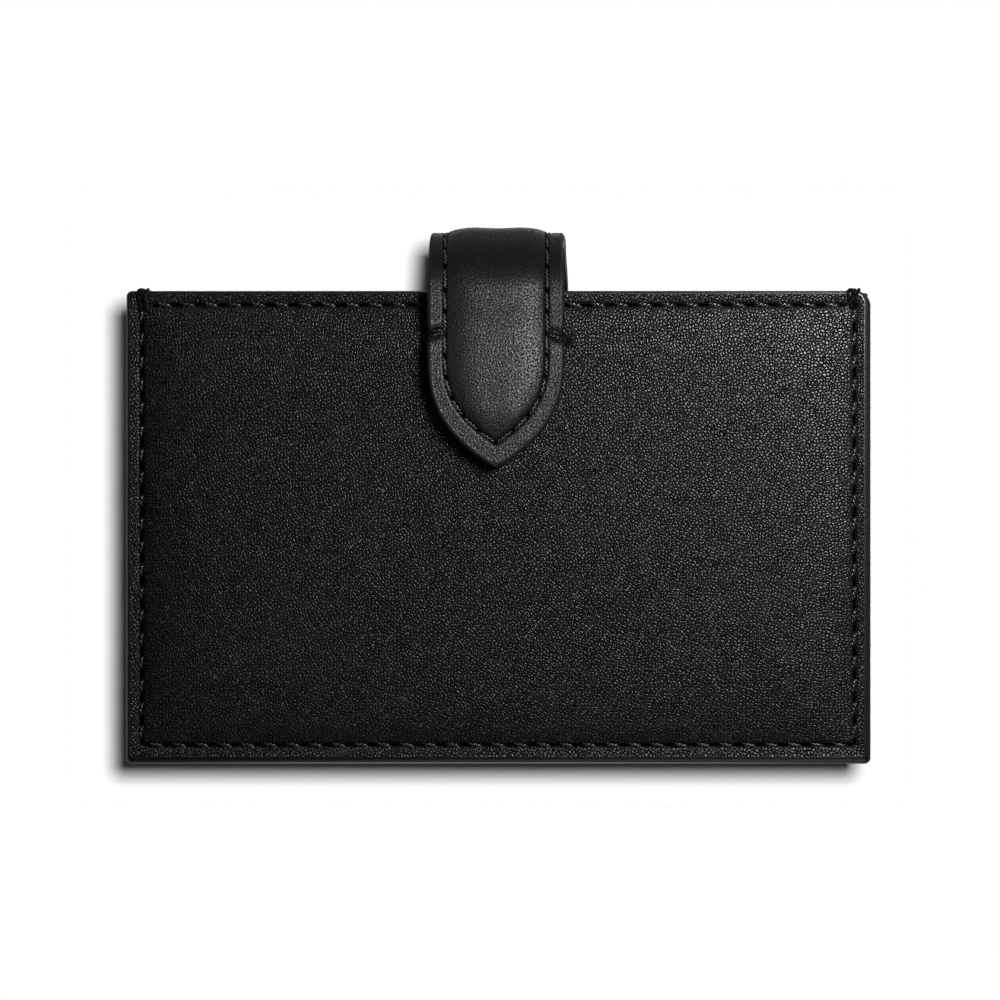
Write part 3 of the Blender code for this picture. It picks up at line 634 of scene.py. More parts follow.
# %% [markdown]
# The side seams end at the top in a knot: four turns of thread that wrap over the top edge. Each
# turn is a strand that rises from one hole, goes over the edge and down inside.


# %% Thread knots over the top edge
def soft_curves(t, steps, *columns):
    """The values of each column at its steps, with straight runs in between, softened once."""
    curves = [np.interp(t, steps, column) for column in columns]
    for curve in curves:
        curve[1:-1] = np.convolve(curve, [0.25, 0.5, 0.25], "valid")
    return curves


def make_knots(word, side, body):
    """Each strand is a smooth curve through its hole, the margin, the top edge and the inside."""
    t = np.linspace(0, 1, 21)
    strands = []
    for at, width, low in ((LEFT_SEAM + 0.2, 1.15, 63.2), (RIGHT_SEAM - 0.1, 1.3, 63.6)):
        rise, depth = soft_curves(t, [0, 0.1, 0.3, 0.5, 0.6, 0.7, 0.82, 1],
                                  [low - 0.3, low, 65.0, 66.0, 66.3, 66.34, 66.1, 64.9],
                                  [8.5, 9.05, 9.28, 9.2, 8.85, 8.2, 7.2, 6.0])
        for k in range(4):
            spread = (k / 3 - 0.5) * width
            fan = spread * (0.65 + 0.35 * smooth_step(t, 0, 0.5)) + 0.15 * np.sin(t * 11 + 2.3 * k)
            over = 0.08 * np.sin(t * 13 + 1.7 * k)
            strands.append(np.stack([at + fan, side * (depth + over), rise + 0.05 * (k % 2)], 1))
    piece = tubes(word + "_corner_knots", np.array(strands), np.array([1.0, 0, 0]),
                  np.full(len(t), 0.23), THREAD)
    dress(piece, body, "panel_leather")


for word, side in SIDES:
    make_knots(word, side, word + "_panel")

# %% [markdown]
# ## The strap
# The strap is one padded band from its sewn point on the back, over the top, to the tab at the front.
# It is drawn on its own flat pattern: x across and s along, with s = 0 at the top of the arch. A line
# through the case carries that pattern, and a height over the line gives the third direction. It
# bends at three joints, so it is cut into three lengths, each of which holds one of them.

# %% The line that the strap follows
ARCH_BASE, ARCH_RISE, LIFT_Z, PEEL_Y = 65.4, 7.12, 67.7, 8.6
BACK_REACH, FRONT_REACH = 9.4, 11.8
STRAP_HALF, SEAM_HALF = 9.65, 7.15
LANCET_TOP, LANCET_TIP, SEAM_TIP, TIP_ROUND = 57.9, 41.5, 44.85, 2.5
STRAP_T, STRAP_RISE, STRAP_SPLIT = 2.0, 0.84, 0.86
SNAP_Z, CAP_RADIUS = 50.5, 5.0
STRAP_RIM, STRAP_RIM_DEPTH = 0.45, 0.8


def half_line(reach):
    """From the top of the arch, a quarter ellipse, then down the domed face to the tip.

    The dome is averaged over 2 mm, because a padded strap doesn't follow the seam's kink."""
    angle = np.radians(np.linspace(90, 0, 91))
    arch = np.stack([reach * np.cos(angle), ARCH_BASE + ARCH_RISE * np.sin(angle)], 1)
    z = np.linspace(ARCH_BASE, LANCET_TIP, 200)[1:]
    spread = np.linspace(-2.0, 2.0, 21)
    dome = crown(np.zeros((len(z), 21)), z[:, None] + spread).mean(1)
    dome = dome * smooth_step(ARCH_BASE - z, 0, 1.5)
    return softened(np.concatenate([arch, np.stack([reach + dome, z], 1)]))


def softened(line, step=0.1, reach=25):
    """Even steps, then a Hann average over 5 mm: the arch runs into the face without a bright band."""
    s = measured(line)
    line = at_length(line, s, np.linspace(0, s[-1], int(s[-1] / step)))
    padded = np.concatenate([line[reach:0:-1] * (-1, 1), line, 2 * line[-1] - line[-2:-reach - 2:-1]])
    window = np.hanning(2 * reach + 3)[1:-1]
    return np.stack([np.convolve(padded[:, k], window / window.sum(), "valid") for k in (0, 1)], 1)


def down_to(line, z):
    """Length along a half line from the top of the arch down to the height z."""
    return float(np.interp(-z, -line[:, 1], measured(line)))


BACK_LINE, FRONT_LINE = half_line(BACK_REACH), half_line(FRONT_REACH)
LINE = np.concatenate([BACK_LINE[::-1] * (-1, 1), FRONT_LINE[1:]])
LINE_S = np.concatenate([-measured(BACK_LINE)[::-1], measured(FRONT_LINE)[1:]])
LIFT_S = -down_to(BACK_LINE, LIFT_Z)
PEEL_S = float(np.interp(PEEL_Y, FRONT_LINE[:, 0], measured(FRONT_LINE)))
TACK_S = [(hand, -down_to(BACK_LINE, at), turns) for hand, at, turns in TACKS]


def on_line(s):
    return at_length(LINE, LINE_S, s)


def strap_place(x, s, height):
    """Point of the case at x across and s along, that height over the strap's inner line."""
    step = 0.4
    ahead = on_line(s + step) - on_line(s - step)
    ahead /= np.linalg.norm(ahead, axis=-1, keepdims=True)
    at = on_line(s)
    drift = STRAP_DRIFT * smooth_step(-s, -6, 6)
    return np.stack([x + drift, at[..., 0] - ahead[..., 1] * height,
                     at[..., 1] + ahead[..., 0] * height], -1)


def taper(z, tip):
    """1 along the straight sides, falling as 1 - t^2.9 to 0 at the point of the lancet."""
    return 1 - np.clip((LANCET_TOP - z) / (LANCET_TOP - tip), 0, 1) ** 2.9


def half_width(s):
    """The lancet, its point rounded by a circle, a little narrower over the arch and at the tacks."""
    z = on_line(s)[..., 1]
    up = np.maximum(z - LANCET_TIP, 0)
    circle = np.sqrt(np.clip(2 * TIP_ROUND * up - up ** 2, 0, None))
    circle = np.where(up > TIP_ROUND * 0.4, np.inf, circle)
    narrow = 0.28 * smooth_step(z, ARCH_BASE + 1, ARCH_BASE + 6)
    waist = 0.25 * np.exp(-((s - TACK_S[0][1]) / 0.9) ** 2)
    whole = (STRAP_HALF - narrow - waist) * taper(z, LANCET_TIP - 0.144 * TIP_ROUND)
    return np.maximum(np.minimum(whole, circle), 0.3)


def seam_half(s):
    return SEAM_HALF * taper(on_line(s)[..., 1], SEAM_TIP)


def both_sides(width, tip):
    """A pattern path along the right-hand border, from the back tip to the front tip."""
    low, high = -down_to(BACK_LINE, tip), down_to(FRONT_LINE, tip)
    share = np.linspace(-1, 1, 181)
    share = np.sign(share) * (1 - (1 - np.abs(share)) ** 1.6)
    s = (low + high) / 2 + (high - low) / 2 * share
    return np.stack([width(s), s], 1)


STRAP_SEAM = both_sides(seam_half, SEAM_TIP)
STRAP_SEAM[[0, -1], 0] = 0.0
STRAP_OUTLINE = both_sides(half_width, LANCET_TIP)
STRAP_PITCH = 2.94


def strap_bulge(x, s):
    """The padding's rise inside the seam, with a shallow fold in the middle of the arch."""
    at = on_line(s)
    half = np.maximum(seam_half(s), 0.3)
    share = np.clip(np.abs(x) / half, 0, 1)
    ends = np.sin(np.clip((at[..., 1] - SEAM_TIP) / 5.0, 0, 1) * np.pi / 2)
    rise = STRAP_RISE * (1 - share ** 4) * ends
    over_top = smooth_step(at[..., 1], ARCH_BASE + 1, ARCH_BASE + 4)
    rise = rise * (1 - 0.22 * over_top * np.exp(-(x / 2.6) ** 2))
    away = np.hypot(x, at[..., 1] - SNAP_Z) / CAP_RADIUS - 1
    return np.where(s > 0, rise * np.clip(away / 0.5, 0, 1), rise)


def pinch(x, s):
    """How hard the bar tacks pull the margin down: a narrow ease across each tack."""
    return sum(np.exp(-((s - at + 0.3 * (hand * x - 8.5)) / 0.7) ** 2)
               * smooth_step(hand * x, 6.9, 7.9) for hand, at, _ in TACK_S)


def strap_face(x, s):
    """Height of the strap's outer face over its inner line, with its masks."""
    flat = np.stack([np.abs(x).ravel(), s.ravel()], 1)
    sink, hole = seam_marks(flat, [STRAP_SEAM], STRAP_PITCH, 0.36, 0.2, 0.24, (0.07, 0.15), 0.85)
    edge = along_path(flat, STRAP_OUTLINE)[1].reshape(x.shape)
    edge = np.minimum(edge, np.abs(half_width(s) - np.abs(x)))
    paint = 1 - smooth_step(edge, STRAP_RIM - 0.02, STRAP_RIM + 0.08)
    lip = 0.03 * np.exp(-((edge - STRAP_RIM - 0.06) / 0.09) ** 2)
    drop = rolled(edge / STRAP_RIM, 1.0) * STRAP_RIM_DEPTH
    height = STRAP_T + strap_bulge(x, s) + lip - drop - sink.reshape(x.shape) - 0.65 * pinch(x, s)
    # The pinched margin at each tack also gets a painted shade, besides its sink.
    return height, paint, np.maximum(hole.reshape(x.shape), 0.8 * pinch(x, s))


# %% Strap lengths, one round each joint
def strap_rows(low, high, spacing):
    """Even rows along s, with closer ones at the two tips of the strap."""
    tips = [np.array([LINE_S[0] + d for d in (0, 0.12, 0.24)]),
            np.array([LINE_S[-1] - d for d in (0, 0.12, 0.24)])]
    count = int((high - low) / spacing)
    rows = np.concatenate([np.linspace(low, high, count)] + tips)
    rows = np.unique(rows[(rows >= low) & (rows <= high)].round(4))
    return rows[np.concatenate([[True], np.diff(rows) > 0.04])]


SEGMENTS = {
    "anchor": (LINE_S[0], LIFT_S / 2, LIFT_S, 3.6, "back_panel", "strap_rear_arch",
               ["strap_anchor"]),
    "arch": (LIFT_S / 2, PEEL_S / 2, 0.0, 4.0, "strap_rear_arch", "strap_fore_arch",
             ["strap_rear_arch", "strap_fore_arch"]),
    "tab": (PEEL_S / 2, LINE_S[-1], PEEL_S, 4.4, "strap_fore_arch", "strap_tab", ["strap_tab"]),
}


def hang(piece, segment, ending=""):
    """Fix a strap piece in the case's space and, given an ending, hide the nodes it stands for."""
    joint_s, reach, first, second = SEGMENTS[segment][2:6]
    ends = [strap_place(0.0, joint_s + d, 1.0) * MM + (0, MIDDLE_Y, 0) for d in (-reach, reach)]
    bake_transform(piece)
    if ending:
        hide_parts(*(node_name + ending for node_name in SEGMENTS[segment][6]))
    return piece


def keep_end_normals(piece, outer, whole_s, make_outer):
    """Give the cut ends the normals that the uncut strap has there, so that no cut line shows."""
    mesh = piece.data
    rows, columns = outer.shape[:2]
    normals = np.zeros(len(mesh.loops) * 3, np.float32)
    mesh.corner_normals.foreach_get("vector", normals)
    normals = normals.reshape(-1, 3)
    corner_point = np.zeros(len(mesh.loops), np.int32)
    mesh.loops.foreach_get("vertex_index", corner_point)
    outer_corners = np.arange(len(corner_point)) < (rows - 1) * (columns - 1) * 4
    for row, s in ((0, whole_s[0]), (rows - 1, whole_s[-1])):
        if min(abs(s - LINE_S[0]), abs(s - LINE_S[-1])) < 0.01:
            continue
        strip = make_outer(np.array([s - 0.3, s, s + 0.3]))
        along = strip[2] - strip[0]
        across = np.gradient(strip[1], axis=0)
        true = np.cross(across, along)
        true /= np.linalg.norm(true, axis=1, keepdims=True)
        here = outer_corners & (corner_point // columns == row) & (corner_point < rows * columns)
        wanted = true[corner_point[here] % columns]
        wanted *= np.sign((wanted * normals[here]).sum(1, keepdims=True))
        normals[here] = wanted
    mesh.normals_split_custom_set(normals.tolist())


def make_strap_cover(segment):
    """The leather: its face as a grid of shares of the half width, and a grid over the padding."""
    low, high = SEGMENTS[segment][:2]
    roll = 0.062 * ROLL
    share = np.concatenate([roll - 1, np.linspace(-0.93, 0.93, 112), 1 - roll[::-1]])
    rows = strap_rows(low, high, 0.33)

    def grid(rows):
        s = np.repeat(rows[:, None], len(share), 1)
        return share[None] * half_width(s), s

    def make_outer(rows):
        x, s = grid(rows)
        return strap_place(x, s, strap_face(x, s)[0])

    x, s = grid(rows)
    height, paint, hole = strap_face(x, s)
    outer = strap_place(x, s, height)
    inner = strap_place(x, s, STRAP_SPLIT + 0.9 * strap_bulge(x, s))
    piece = leather_shell(f"strap_{segment}_cover", outer, inner, STRAP_LEATHER, paint, hole, x, s)
    keep_end_normals(piece, outer, rows, make_outer)
    hang(piece, segment, "_leather")
    print("strap", segment, "from s", round(low, 2), "to", round(high, 2), len(piece.data.polygons))


def make_strap_lining(segment):
    """The flat inner layer, its lower edge rolled like the cover's."""
    low, high = SEGMENTS[segment][:2]
    share = np.concatenate([[-1, -0.985, -0.965], np.linspace(-0.94, 0.94, 23), [0.965, 0.985, 1]])
    s = np.repeat(strap_rows(low, high, 0.6)[:, None], len(share), 1)
    x = share[None] * (half_width(s) - 0.04)
    edge = (1 - np.abs(share))[None] * half_width(s)
    top = strap_place(x, s, STRAP_SPLIT - 0.02)
    bottom = strap_place(x, s, rolled(edge, 0.3))
    paint = np.concatenate([np.ones(x.size), (1 - smooth_step(edge, 0.3, 0.45)).ravel()])
    piece = make_piece(f"strap_{segment}_lining", *slab(top, bottom), LINING_LEATHER, edge_paint=paint)
    hang(piece, segment, "_lining")


def make_strap_foam(segment):
    """The padding under the bulge, from near the sewn tip to above the press stud."""
    low, high = SEGMENTS[segment][:2]
    low = max(low, -down_to(BACK_LINE, SEAM_TIP + 3.5))
    high = min(high, down_to(FRONT_LINE, SNAP_Z + 1.5 * CAP_RADIUS))
    s = np.repeat(np.linspace(low, high, max(int((high - low) / 0.8), 4))[:, None], 15, 1)
    x = np.linspace(-0.86, 0.86, 15)[None] * seam_half(s)
    top = strap_place(x, s, STRAP_SPLIT + 0.03 + np.maximum(0.8 * strap_bulge(x, s), 0.03))
    bottom = strap_place(x, s, STRAP_SPLIT + 0.01)
    piece = make_piece(f"strap_{segment}_foam", *slab(top, bottom), FOAM)
    hang(piece, segment, "_padding")


def make_strap_stitches(segment):
    """The threads of both borders whose middles lie on this length."""
    low, high = SEGMENTS[segment][:2]
    lines, ways, lift, thick = stitch_lines([STRAP_SEAM, STRAP_SEAM * (-1, 1)], STRAP_PITCH, 5, 0.84)
    middle_s = lines[:, lines.shape[1] // 2, 1]
    mine = (middle_s >= low) & (middle_s < high)
    lines, ways = lines[mine], ways[mine]
    x, s = lines[..., 0], lines[..., 1]
    over = strap_face(x, s)[0][:, x.shape[1] // 2, None] + 0.8 * lift + 0.12
    centres = strap_place(x, s, over)
    sideways = strap_place(x + 0.1 * ways[..., 0], s + 0.1 * ways[..., 1], over) - centres
    piece = tubes(f"strap_{segment}_stitches", centres, sideways, thick * 0.8, GLINT_PAINTED_THREAD)
    hang(piece, segment)


for segment in SEGMENTS:
    make_strap_cover(segment)
    make_strap_lining(segment)
    make_strap_foam(segment)
    make_strap_stitches(segment)

# %% [markdown]
# Two bar tacks hold the strap where it leaves the panel: turns of thread from the seam, over the
# strap's margin and its edge, and down into the panel beside it.


# %% Bar tacks
def make_bar_tacks():
    """Strands beside each other that cross a little, each a smooth curve over the pinched margin."""
    t = np.linspace(0, 1, 25)
    out, height = soft_curves(t, [0, 0.08, 0.2, 0.5, 0.66, 0.78, 0.88, 1],
                              [6.9, 7.2, 7.7, 8.75, 9.2, 9.5, 9.75, 10.0],
                              [0.9, 1.55, 1.78, 1.72, 1.3, 0.6, -0.1, -0.7])
    strands = []
    for hand, start, turns in TACK_S:
        for k in range(turns):
            apart = (k - (turns - 1) / 2) * 0.4
            wander = 0.14 * np.sin(t * np.pi * 1.5 + 2.1 * k)
            s = start + apart * (0.6 + 0.4 * np.sin(t * np.pi)) + wander - 0.3 * (out - 8.5)
            strands.append(strap_place(hand * out, s, height + 0.1 * np.cos(t * 6 + 2 * k)))
    piece = tubes("strap_bar_tacks", np.array(strands), np.array([0.0, 0, 1]), np.full(len(t), 0.24),
                  THREAD)
    dress(piece, "back_panel", "strap_leather")


make_bar_tacks()

# %% [markdown]
# ## Gussets
# Each side of the case is one strip of thin leather folded like an accordion. It wraps round the
# edge of every divider, a ridge, and folds inwards between them, two leaves to a pocket. A ridge is a
# half-oval profile carried up the case. A leaf bends at its root, where it leaves the wall.

# %% Ridges
PITCH, POCKET_GAP, CORE_HALF = 3.3, 2.3, 6.1
DIVIDER_TOP, HINGE_Z = 64.2, 3.0


def divider_y(number):
    return -CORE_HALF + number * PITCH - 0.5


def pocket_y(number):
    return -CORE_HALF + POCKET_GAP / 2 + (number - 1) * PITCH


def make_ridge(number, hand, word, body):
    """Outer and inner half ovals, swept upwards with a slight waver, as hand-folded leather has."""
    turn = np.radians(np.concatenate([[-90, -90], np.linspace(-88, 88, 25), [90, 90]]))
    z = np.concatenate([[1.7, 1.78, 1.95], np.linspace(2.6, 63.0, 56), [63.6, 63.8, 63.9]])
    end = np.concatenate([[0.28, 0.1, 0.02], np.zeros(56), [0.02, 0.1, 0.25]])[:, None]
    waver = (0.07 * np.sin(z / 4.1 + number * 2.1 + hand) + 0.05 * np.sin(z / 1.7 + number))[:, None]
    start = np.concatenate([[-0.15, -0.07], np.zeros(25), [-0.07, -0.15]])

    def profile(nose, half, waver):
        x = 50.6 + start[None] + (nose + waver) * np.cos(turn)[None]
        y = divider_y(number) + half * np.sin(turn)[None]
        return grid_of(hand * x, y, z[:, None])

    outer = profile(0.9 - end, 1.5 - end, waver)
    inner = profile(0.25, 0.82, 0.3 * waver)
    piece = make_piece(f"gusset_ridge_{number}_{word}", *slab(outer, inner), GUSSET_LEATHER, 50)
    dress(piece, body, "gusset_leather", f"ridge_{number}_{word}")


WALLS = ["back_panel", "back_divider", "middle_divider", "front_divider", "front_panel"]
HANDS = ((-1, "left"), (1, "right"))
for number in (1, 2, 3):
    for hand, word in HANDS:
        make_ridge(number, hand, word, WALLS[number])


# %% Leaves
def make_leaf(number, hand, word, near):
    """A tapered leaf 0.7 thick; its tip leans to the pocket's middle, where it meets its twin."""
    which = "rear" if near < 0 else "fore"
    z = np.concatenate([[8.0, 8.08, 8.25], np.linspace(9, 62.6, 36), [63.3, 63.5, 63.6]])
    end = np.concatenate([[0.2, 0.06, 0], np.zeros(36), [0, 0.06, 0.2]])[:, None]
    share = np.concatenate([np.linspace(0, 0.9, 15), [0.95, 0.98, 1.0]])
    width = (6.5 * (z - HINGE_Z) / (DIVIDER_TOP - HINGE_Z))[:, None]
    x = 50.44 - share[None] * (width + 0.34)
    middle = 0.5 - 0.13 * smooth_step(share, 0.55, 1.0)[None] * smooth_step(width, 1.0, 3.0)
    half = 0.35 - end - rolled((1 - share)[None] * (width + 0.34), 0.3)
    grids = [grid_of(hand * x, pocket_y(number) + near * face, z[:, None])
             for face in (middle - half, middle + half)]
    node_name = f"gusset_{number}_{word}_{which}"
    piece = make_piece(node_name + "_leaf", *slab(*grids), GUSSET_LEATHER, 50)
    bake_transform(piece)
    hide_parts(node_name)


for number in (1, 2, 3, 4):
    for hand, word in HANDS:
        for near in (BACK, FRONT):
            make_leaf(number, hand, word, near)

# %% [markdown]
# ## Nodes whose CAD shape is right
# Boards, linings, dividers, pocket floors and the gussets' sewn flanges keep their CAD meshes and
# only get their finish.

# %% Finish the carried-over nodes
LINED = (LINING_LEATHER, "lining_leather")
FINISHES = {"board": (BOARD, "board"), "lining": LINED, "divider": LINED, "pocket_floor": LINED,
            "flange": (GUSSET_LEATHER, "gusset_leather")}
for name, item in NODES.items():
    for key, (finish, slot) in FINISHES.items():
        if key in name and not item.hide_render:
            item.data.materials.clear()
            item.data.materials.append(finish)

# %% [markdown]
# ## The press stud
# Four turned pieces share one axis through the tab and the front panel. Each is a profile of radius
# and height, carried round the axis as one array.


# %% Turned metal
def make_turned(name, profile, y, body, steps=72):
    """A closed profile from the axis back to the axis, turned about the snap's axis along Y."""
    profile = np.array(profile, float)
    turn = np.arange(steps) * 2 * np.pi / steps
    ring = profile[1:-1]
    x, z = ring[:, :1] * np.cos(turn), SNAP_Z + ring[:, :1] * np.sin(turn)
    points = grid_of(x, y + ring[:, 1:], z).reshape(-1, 3)
    ends = np.array([[0, y + height, SNAP_Z] for height in profile[[0, -1], 1]])
    at = np.arange(len(ring) * steps).reshape(len(ring), steps)
    nxt = np.roll(at, -1, 1)
    faces = np.stack([at[:-1], nxt[:-1], nxt[1:], at[1:]], -1).reshape(-1, 4)
    first, last = len(points), len(points) + 1
    caps = ([[first, b, a] for a, b in zip(at[0], nxt[0])]
            + [[last, a, b] for a, b in zip(at[-1], nxt[-1])])
    piece = make_piece(name + "_turned", np.concatenate([points, ends]), faces, SNAP_METAL, 30, caps)
    dress(piece, body, "snap_metal", name)


def arc(radius, low, high, start, end, steps):
    """(radius * sin t, low + (high - low) * cos t) for t between two angles."""
    t = np.radians(np.linspace(start, end, steps))
    return [(radius * math.sin(k), low + (high - low) * math.cos(k)) for k in t]


make_turned("snap_cap", [(0, 1.3)] + arc(4.98, 0.32, 1.3, 6, 84, 16)
            + [(5.0, 0.3), (5.0, 0.14), (4.9, 0.03), (4.75, 0), (1.2, 0), (1.2, -2.3), (0, -2.3)],
            15.0, "strap_tab")
make_turned("snap_socket", [(0, 1.4), (3.9, 1.4), (4.12, 1.35), (4.26, 1.2), (4.3, 1.05), (4.3, 0.3),
                            (4.24, 0.12), (4.1, 0.02), (3.6, 0), (3.4, 0.12), (3.2, 0.12), (3.0, 0),
                            (2.6, 0), (2.44, 0.06), (2.35, 0.22), (2.35, 1.0), (0, 1.0)],
            11.0, "strap_tab")
make_turned("snap_stud", [(0, 1.4)] + arc(1.5, 1.15, 1.4, 15, 75, 5)
            + [(1.72, 1.02), (1.84, 0.85), (1.85, 0.72), (1.72, 0.5), (1.6, 0.38), (1.7, 0.3),
               (3.3, 0.3), (3.5, 0.26), (3.6, 0.15), (3.55, 0.03), (3.4, 0), (1.2, 0), (1.2, -1.7),
               (0, -1.7)], 10.3, "front_panel")
make_turned("snap_post", [(0, 0.15), (1.5, 0.15), (1.5, 0.55), (1.55, 0.6), (1.85, 0.6), (1.9, 0.55),
                          (1.9, 0.3), (3.6, 0.3), (3.78, 0.2), (3.8, 0.1), (3.72, 0), (0, 0)],
            8.0, "front_panel")

# %% [markdown]
# ## Stage, light and camera
# The photograph shows the back of the case square on, on white, with a soft shadow to its lower left.
# Here the case stands on its foot. The camera is a little below the floor, which is one-sided, so the
# floor shows only in the other views. A wall takes the shadow. Close behind the case it would cut
# through the opened pockets and show as a white board from the side, so it stands well behind, where
# a view from above or from the side doesn't reach it. A small lamp beside the camera throws the same
# narrow soft shadow onto it.
# Lamps for the case and lamps for the stage are linked to what they light, so that the white stays
# white and the black stays black. The back has its own lamps, which give it the photograph's sheen
# from the upper right, and the other sides have theirs.


# %% Camera
def put(name, data, place, aim):
    """A lamp or the camera at its place, looking at its aim."""
    item = new_object(name, data)
    item.location = place
    item.rotation_mode = "QUATERNION"
    item.rotation_quaternion = (Vector(aim) - Vector(place)).to_track_quat("-Z", "Y")
    return item


AZIMUTH, ELEVATION, DISTANCE = math.radians(0.5), math.radians(-0.6), 4.0
PIXELS, PIXELS_PER_MM, SENSOR = 1000, 7.143, 36.0
target = Vector((0.00022, -0.01068, 0.0369))
back = Vector((math.sin(AZIMUTH) * math.cos(ELEVATION), -math.cos(AZIMUTH) * math.cos(ELEVATION),
               math.sin(ELEVATION)))
camera_data = bpy.data.cameras.new("camera")
camera_data.sensor_width = SENSOR
camera_data.lens = SENSOR * DISTANCE / (PIXELS / PIXELS_PER_MM * MM)
camera_data.clip_end = 20.0
camera = put("camera", camera_data, target + back * DISTANCE, target)
bpy.context.scene.camera = camera
bpy.context.scene.view_settings.view_transform = "Standard"


# %% Stage
WHITE, PALE, FADE = (1, 1, 1, 1), 0.82, (0.2, 0.75)


def stage_material(name, near, far):
    """Matt pale white that is only seen from its front, with part of its light its own for the camera.

    That part goes from near, round the case, to far, over the distances in FADE. At 1 the sheet is
    plain white, so that the floor has no horizon."""
    material, tree, shader = new_material(name)
    tree.nodes.remove(shader)
    ray = node(tree, "ShaderNodeLightPath", {}).outputs
    matt = node(tree, "ShaderNodeBsdfDiffuse", {"Color": shade((PALE,) * 3)}).outputs[0]
    white = node(tree, "ShaderNodeEmission", {"Color": WHITE, "Strength": 1.0}).outputs[0]
    seen = sums(tree, "MAXIMUM", ray["Is Camera Ray"], ray["Is Glossy Ray"])
    seen = sums(tree, "MAXIMUM", seen, ray["Is Transmission Ray"])
    place = node(tree, "ShaderNodeTexCoord", {}).outputs["Object"]
    away = vectors(tree, "LENGTH", place)["Value"]
    share = sums(tree, "MULTIPLY", seen, ramp(tree, away, *FADE, near, far))
    front = node(tree, "ShaderNodeMixShader", {0: share, 1: matt, 2: white}).outputs[0]
    clear = node(tree, "ShaderNodeBsdfTransparent", {}).outputs[0]
    behind = node(tree, "ShaderNodeNewGeometry", {}).outputs["Backfacing"]
    both = node(tree, "ShaderNodeMixShader", {0: behind, 1: front, 2: clear}).outputs[0]
    tree.links.new(both, tree.nodes["Material Output"].inputs["Surface"])
    return material


def stage_sheet(name, corners, material):
    """A flat sheet of the stage. The camera sees it, and the case's light and shine don't."""
    mesh = bpy.data.meshes.new(name)
    mesh.from_pydata(corners, [], [(0, 1, 2, 3)])
    mesh.materials.append(material)
    sheet = new_object(name, mesh)
    sheet.visible_shadow = sheet.visible_diffuse = sheet.visible_glossy = False
    return sheet


REACH, WALL_AWAY = 2.5, 0.45


def seen_behind(left, right, low, high):
    """The patch of the wall that the camera sees at these sides, in millimetres, round the case."""
    sides = ((left, low), (right, low), (right, high), (left, high))
    return [camera.location + (Vector((x * MM, target.y, z * MM)) - camera.location)
            * (1 + WALL_AWAY / DISTANCE) for x, z in sides]


wall = stage_sheet("wall", seen_behind(-60, 57, -6, 80), stage_material("wall white", 0.0, 0.0))
floor = stage_sheet("floor", [(-REACH, -REACH, 0), (REACH, -REACH, 0), (REACH, REACH, 0),
                              (-REACH, REACH, 0)], stage_material("floor white", 0.45, 1.0))


def light_group(name, members, excluded=False):
    """A collection that says which objects a lamp lights, or with excluded, which it doesn't."""
    group = bpy.data.collections.new(name)
    for member in members:
        group.objects.link(member)
    if excluded:
        for member in group.collection_objects:
            member.light_linking.link_state = "EXCLUDE"
    return group


BACK_PANEL = ["back_panel_leather", "back_seam_stitches", "back_corner_knots"]
STRAP = ["strap_bar_tacks"] + [f"strap_{part}_{kind}" for part in SEGMENTS
                               for kind in ("cover", "lining", "stitches")]
REAR_STRAP = [name for name in STRAP if "tab" not in name]


def pieces(names):
    return [bpy.data.objects[name] for name in names]


WALL_ONLY, FLOOR_ONLY = light_group("wall only", [wall]), light_group("floor only", [floor])
STRAP_ONLY = light_group("strap only", pieces(STRAP))
BACK_ONLY = light_group("back only", pieces(BACK_PANEL))
BACK_LEATHER = light_group("back leather and seams", pieces(BACK_PANEL[:2]))
FRONT_ONLY = light_group("front only", pieces([name.replace("back", "front") for name in BACK_PANEL]
                                              + [name for name in STRAP if "tab" in name]))
ONLY_CASE = light_group("not the stage", [wall, floor], True)
NOT_BACK = light_group("not the stage or the back", [wall, floor] + pieces(BACK_PANEL + REAR_STRAP),
                       True)


# %% Lamps
def lamp(name, place, aim, size, watts, receivers, shape="SQUARE"):
    """An area lamp that lights its receivers alone, and that the camera doesn't see."""
    light = bpy.data.lights.new(name, "AREA")
    light.shape, light.size, light.energy = shape, size, watts
    item = put(name, light, place, aim)
    item.light_linking.receiver_collection = receivers
    item.visible_camera = False


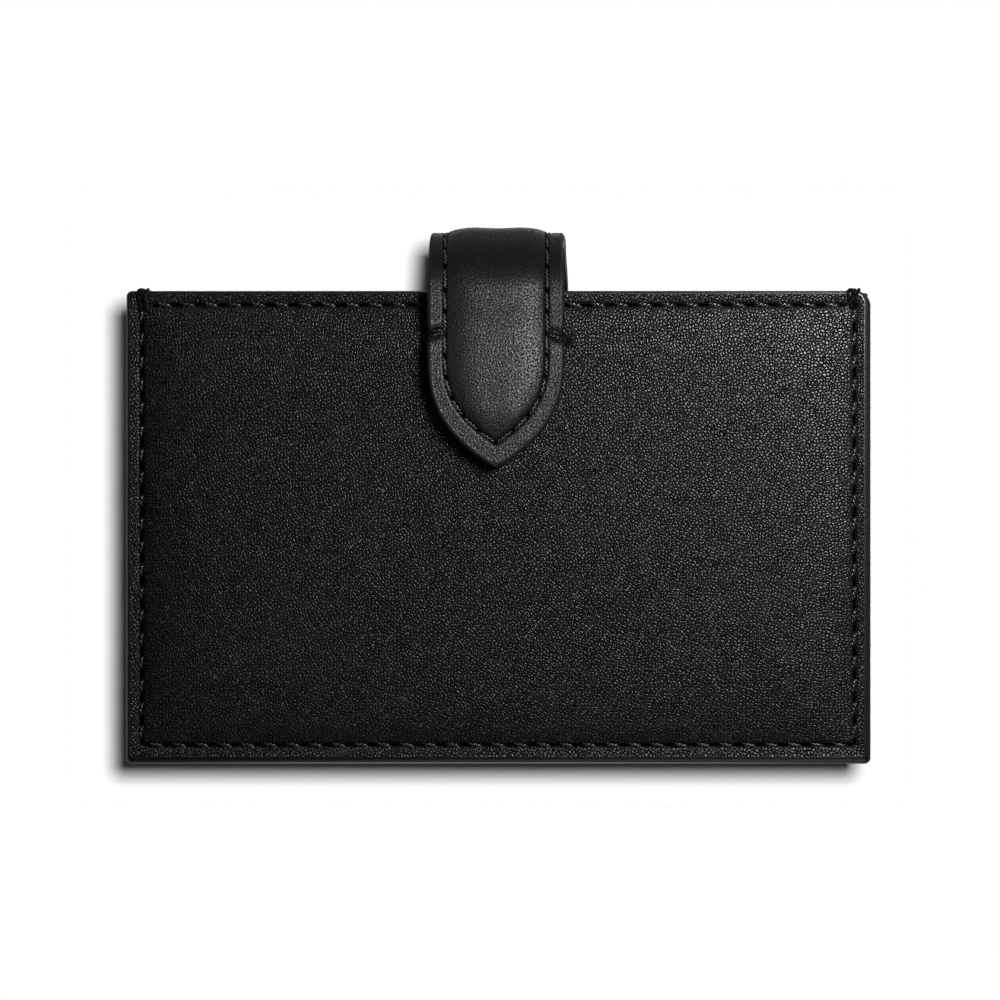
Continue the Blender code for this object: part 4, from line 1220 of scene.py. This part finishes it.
MIDDLE, BESIDE_CAMERA = Vector((0.01, 0, 0.04)), Vector((0.0198, 0, 0.0195))
lamp("key", (0.34, -0.2, 0.19), MIDDLE, 0.3, 0.2, BACK_ONLY)
lamp("corner", (0.08, -0.12, 0.1), (0.03, 0, 0.05), 0.06, 0.38, BACK_LEATHER)
lamp("strap sheen", (0.09, -0.27, 0.1), (0, 0, 0.05), 0.1, 0.46, STRAP_ONLY)
lamp("bounce", (0.05, -0.06, -0.2), (0, 0, 0.01), 0.14, 0.05, BACK_ONLY)
lamp("lower edge", (0, 0.1, -0.12), (0, -0.01, 0), 0.08, 0.02, BACK_ONLY)
lamp("strap top", (0.02, 0.3, 0.13), (0, 0, 0.07), 0.12, 0.06, STRAP_ONLY)
lamp("side fill", (0.5, -0.3, 0.25), MIDDLE, 0.4, 0.35, NOT_BACK)
lamp("fill", (-0.5, -0.5, 0.1), MIDDLE, 0.4, 0.1, ONLY_CASE)
lamp("back key", (-0.34, 0.2, 0.26), MIDDLE, 0.3, 1.9, NOT_BACK)
lamp("back sheen", (-0.1, 0.26, 0.12), (-0.03, 0, 0.05), 0.08, 0.3, NOT_BACK)
lamp("front sheen", (0.38, 0.38, -0.14), MIDDLE, 0.4, 1.3, FRONT_ONLY)
lamp("into the pockets", (0.05, 0.05, 0.5), MIDDLE, 0.3, 0.9, NOT_BACK)
lamp("back fill", (0.5, 0.5, 0.1), MIDDLE, 0.4, 0.4, NOT_BACK)
lamp("shadow lamp", camera.location + BESIDE_CAMERA, target, 0.0343, 245.0, WALL_ONLY, "DISK")
lamp("floor lamp", (0.1, -0.1, 0.9), (0, 0, 0), 0.5, 8.6, FLOOR_ONLY)

# %% [markdown]
# The world is white to the camera. To the case it is a dim room, darker on the photograph's side than
# on the other. A white world all round would be mirrored in the black leather and turn it grey.

# %% World
world = bpy.data.worlds.new("studio")
bpy.context.scene.world = world
world.use_nodes = True
tree = world.node_tree
place = node(tree, "ShaderNodeTexCoord", {}).outputs["Generated"]
toward = node(tree, "ShaderNodeSeparateXYZ", {0: place}).outputs[1]
ray = node(tree, "ShaderNodeLightPath", {}).outputs
seen = sums(tree, "MAXIMUM", ray["Is Camera Ray"], ray["Is Transmission Ray"])
room = ramp(tree, toward, -0.2, 0.9, 0.028, 0.26)
feed(tree, tree.nodes["Background"], {"Color": WHITE, "Strength": mixed(tree, seen, room, 1.0, "FLOAT")})
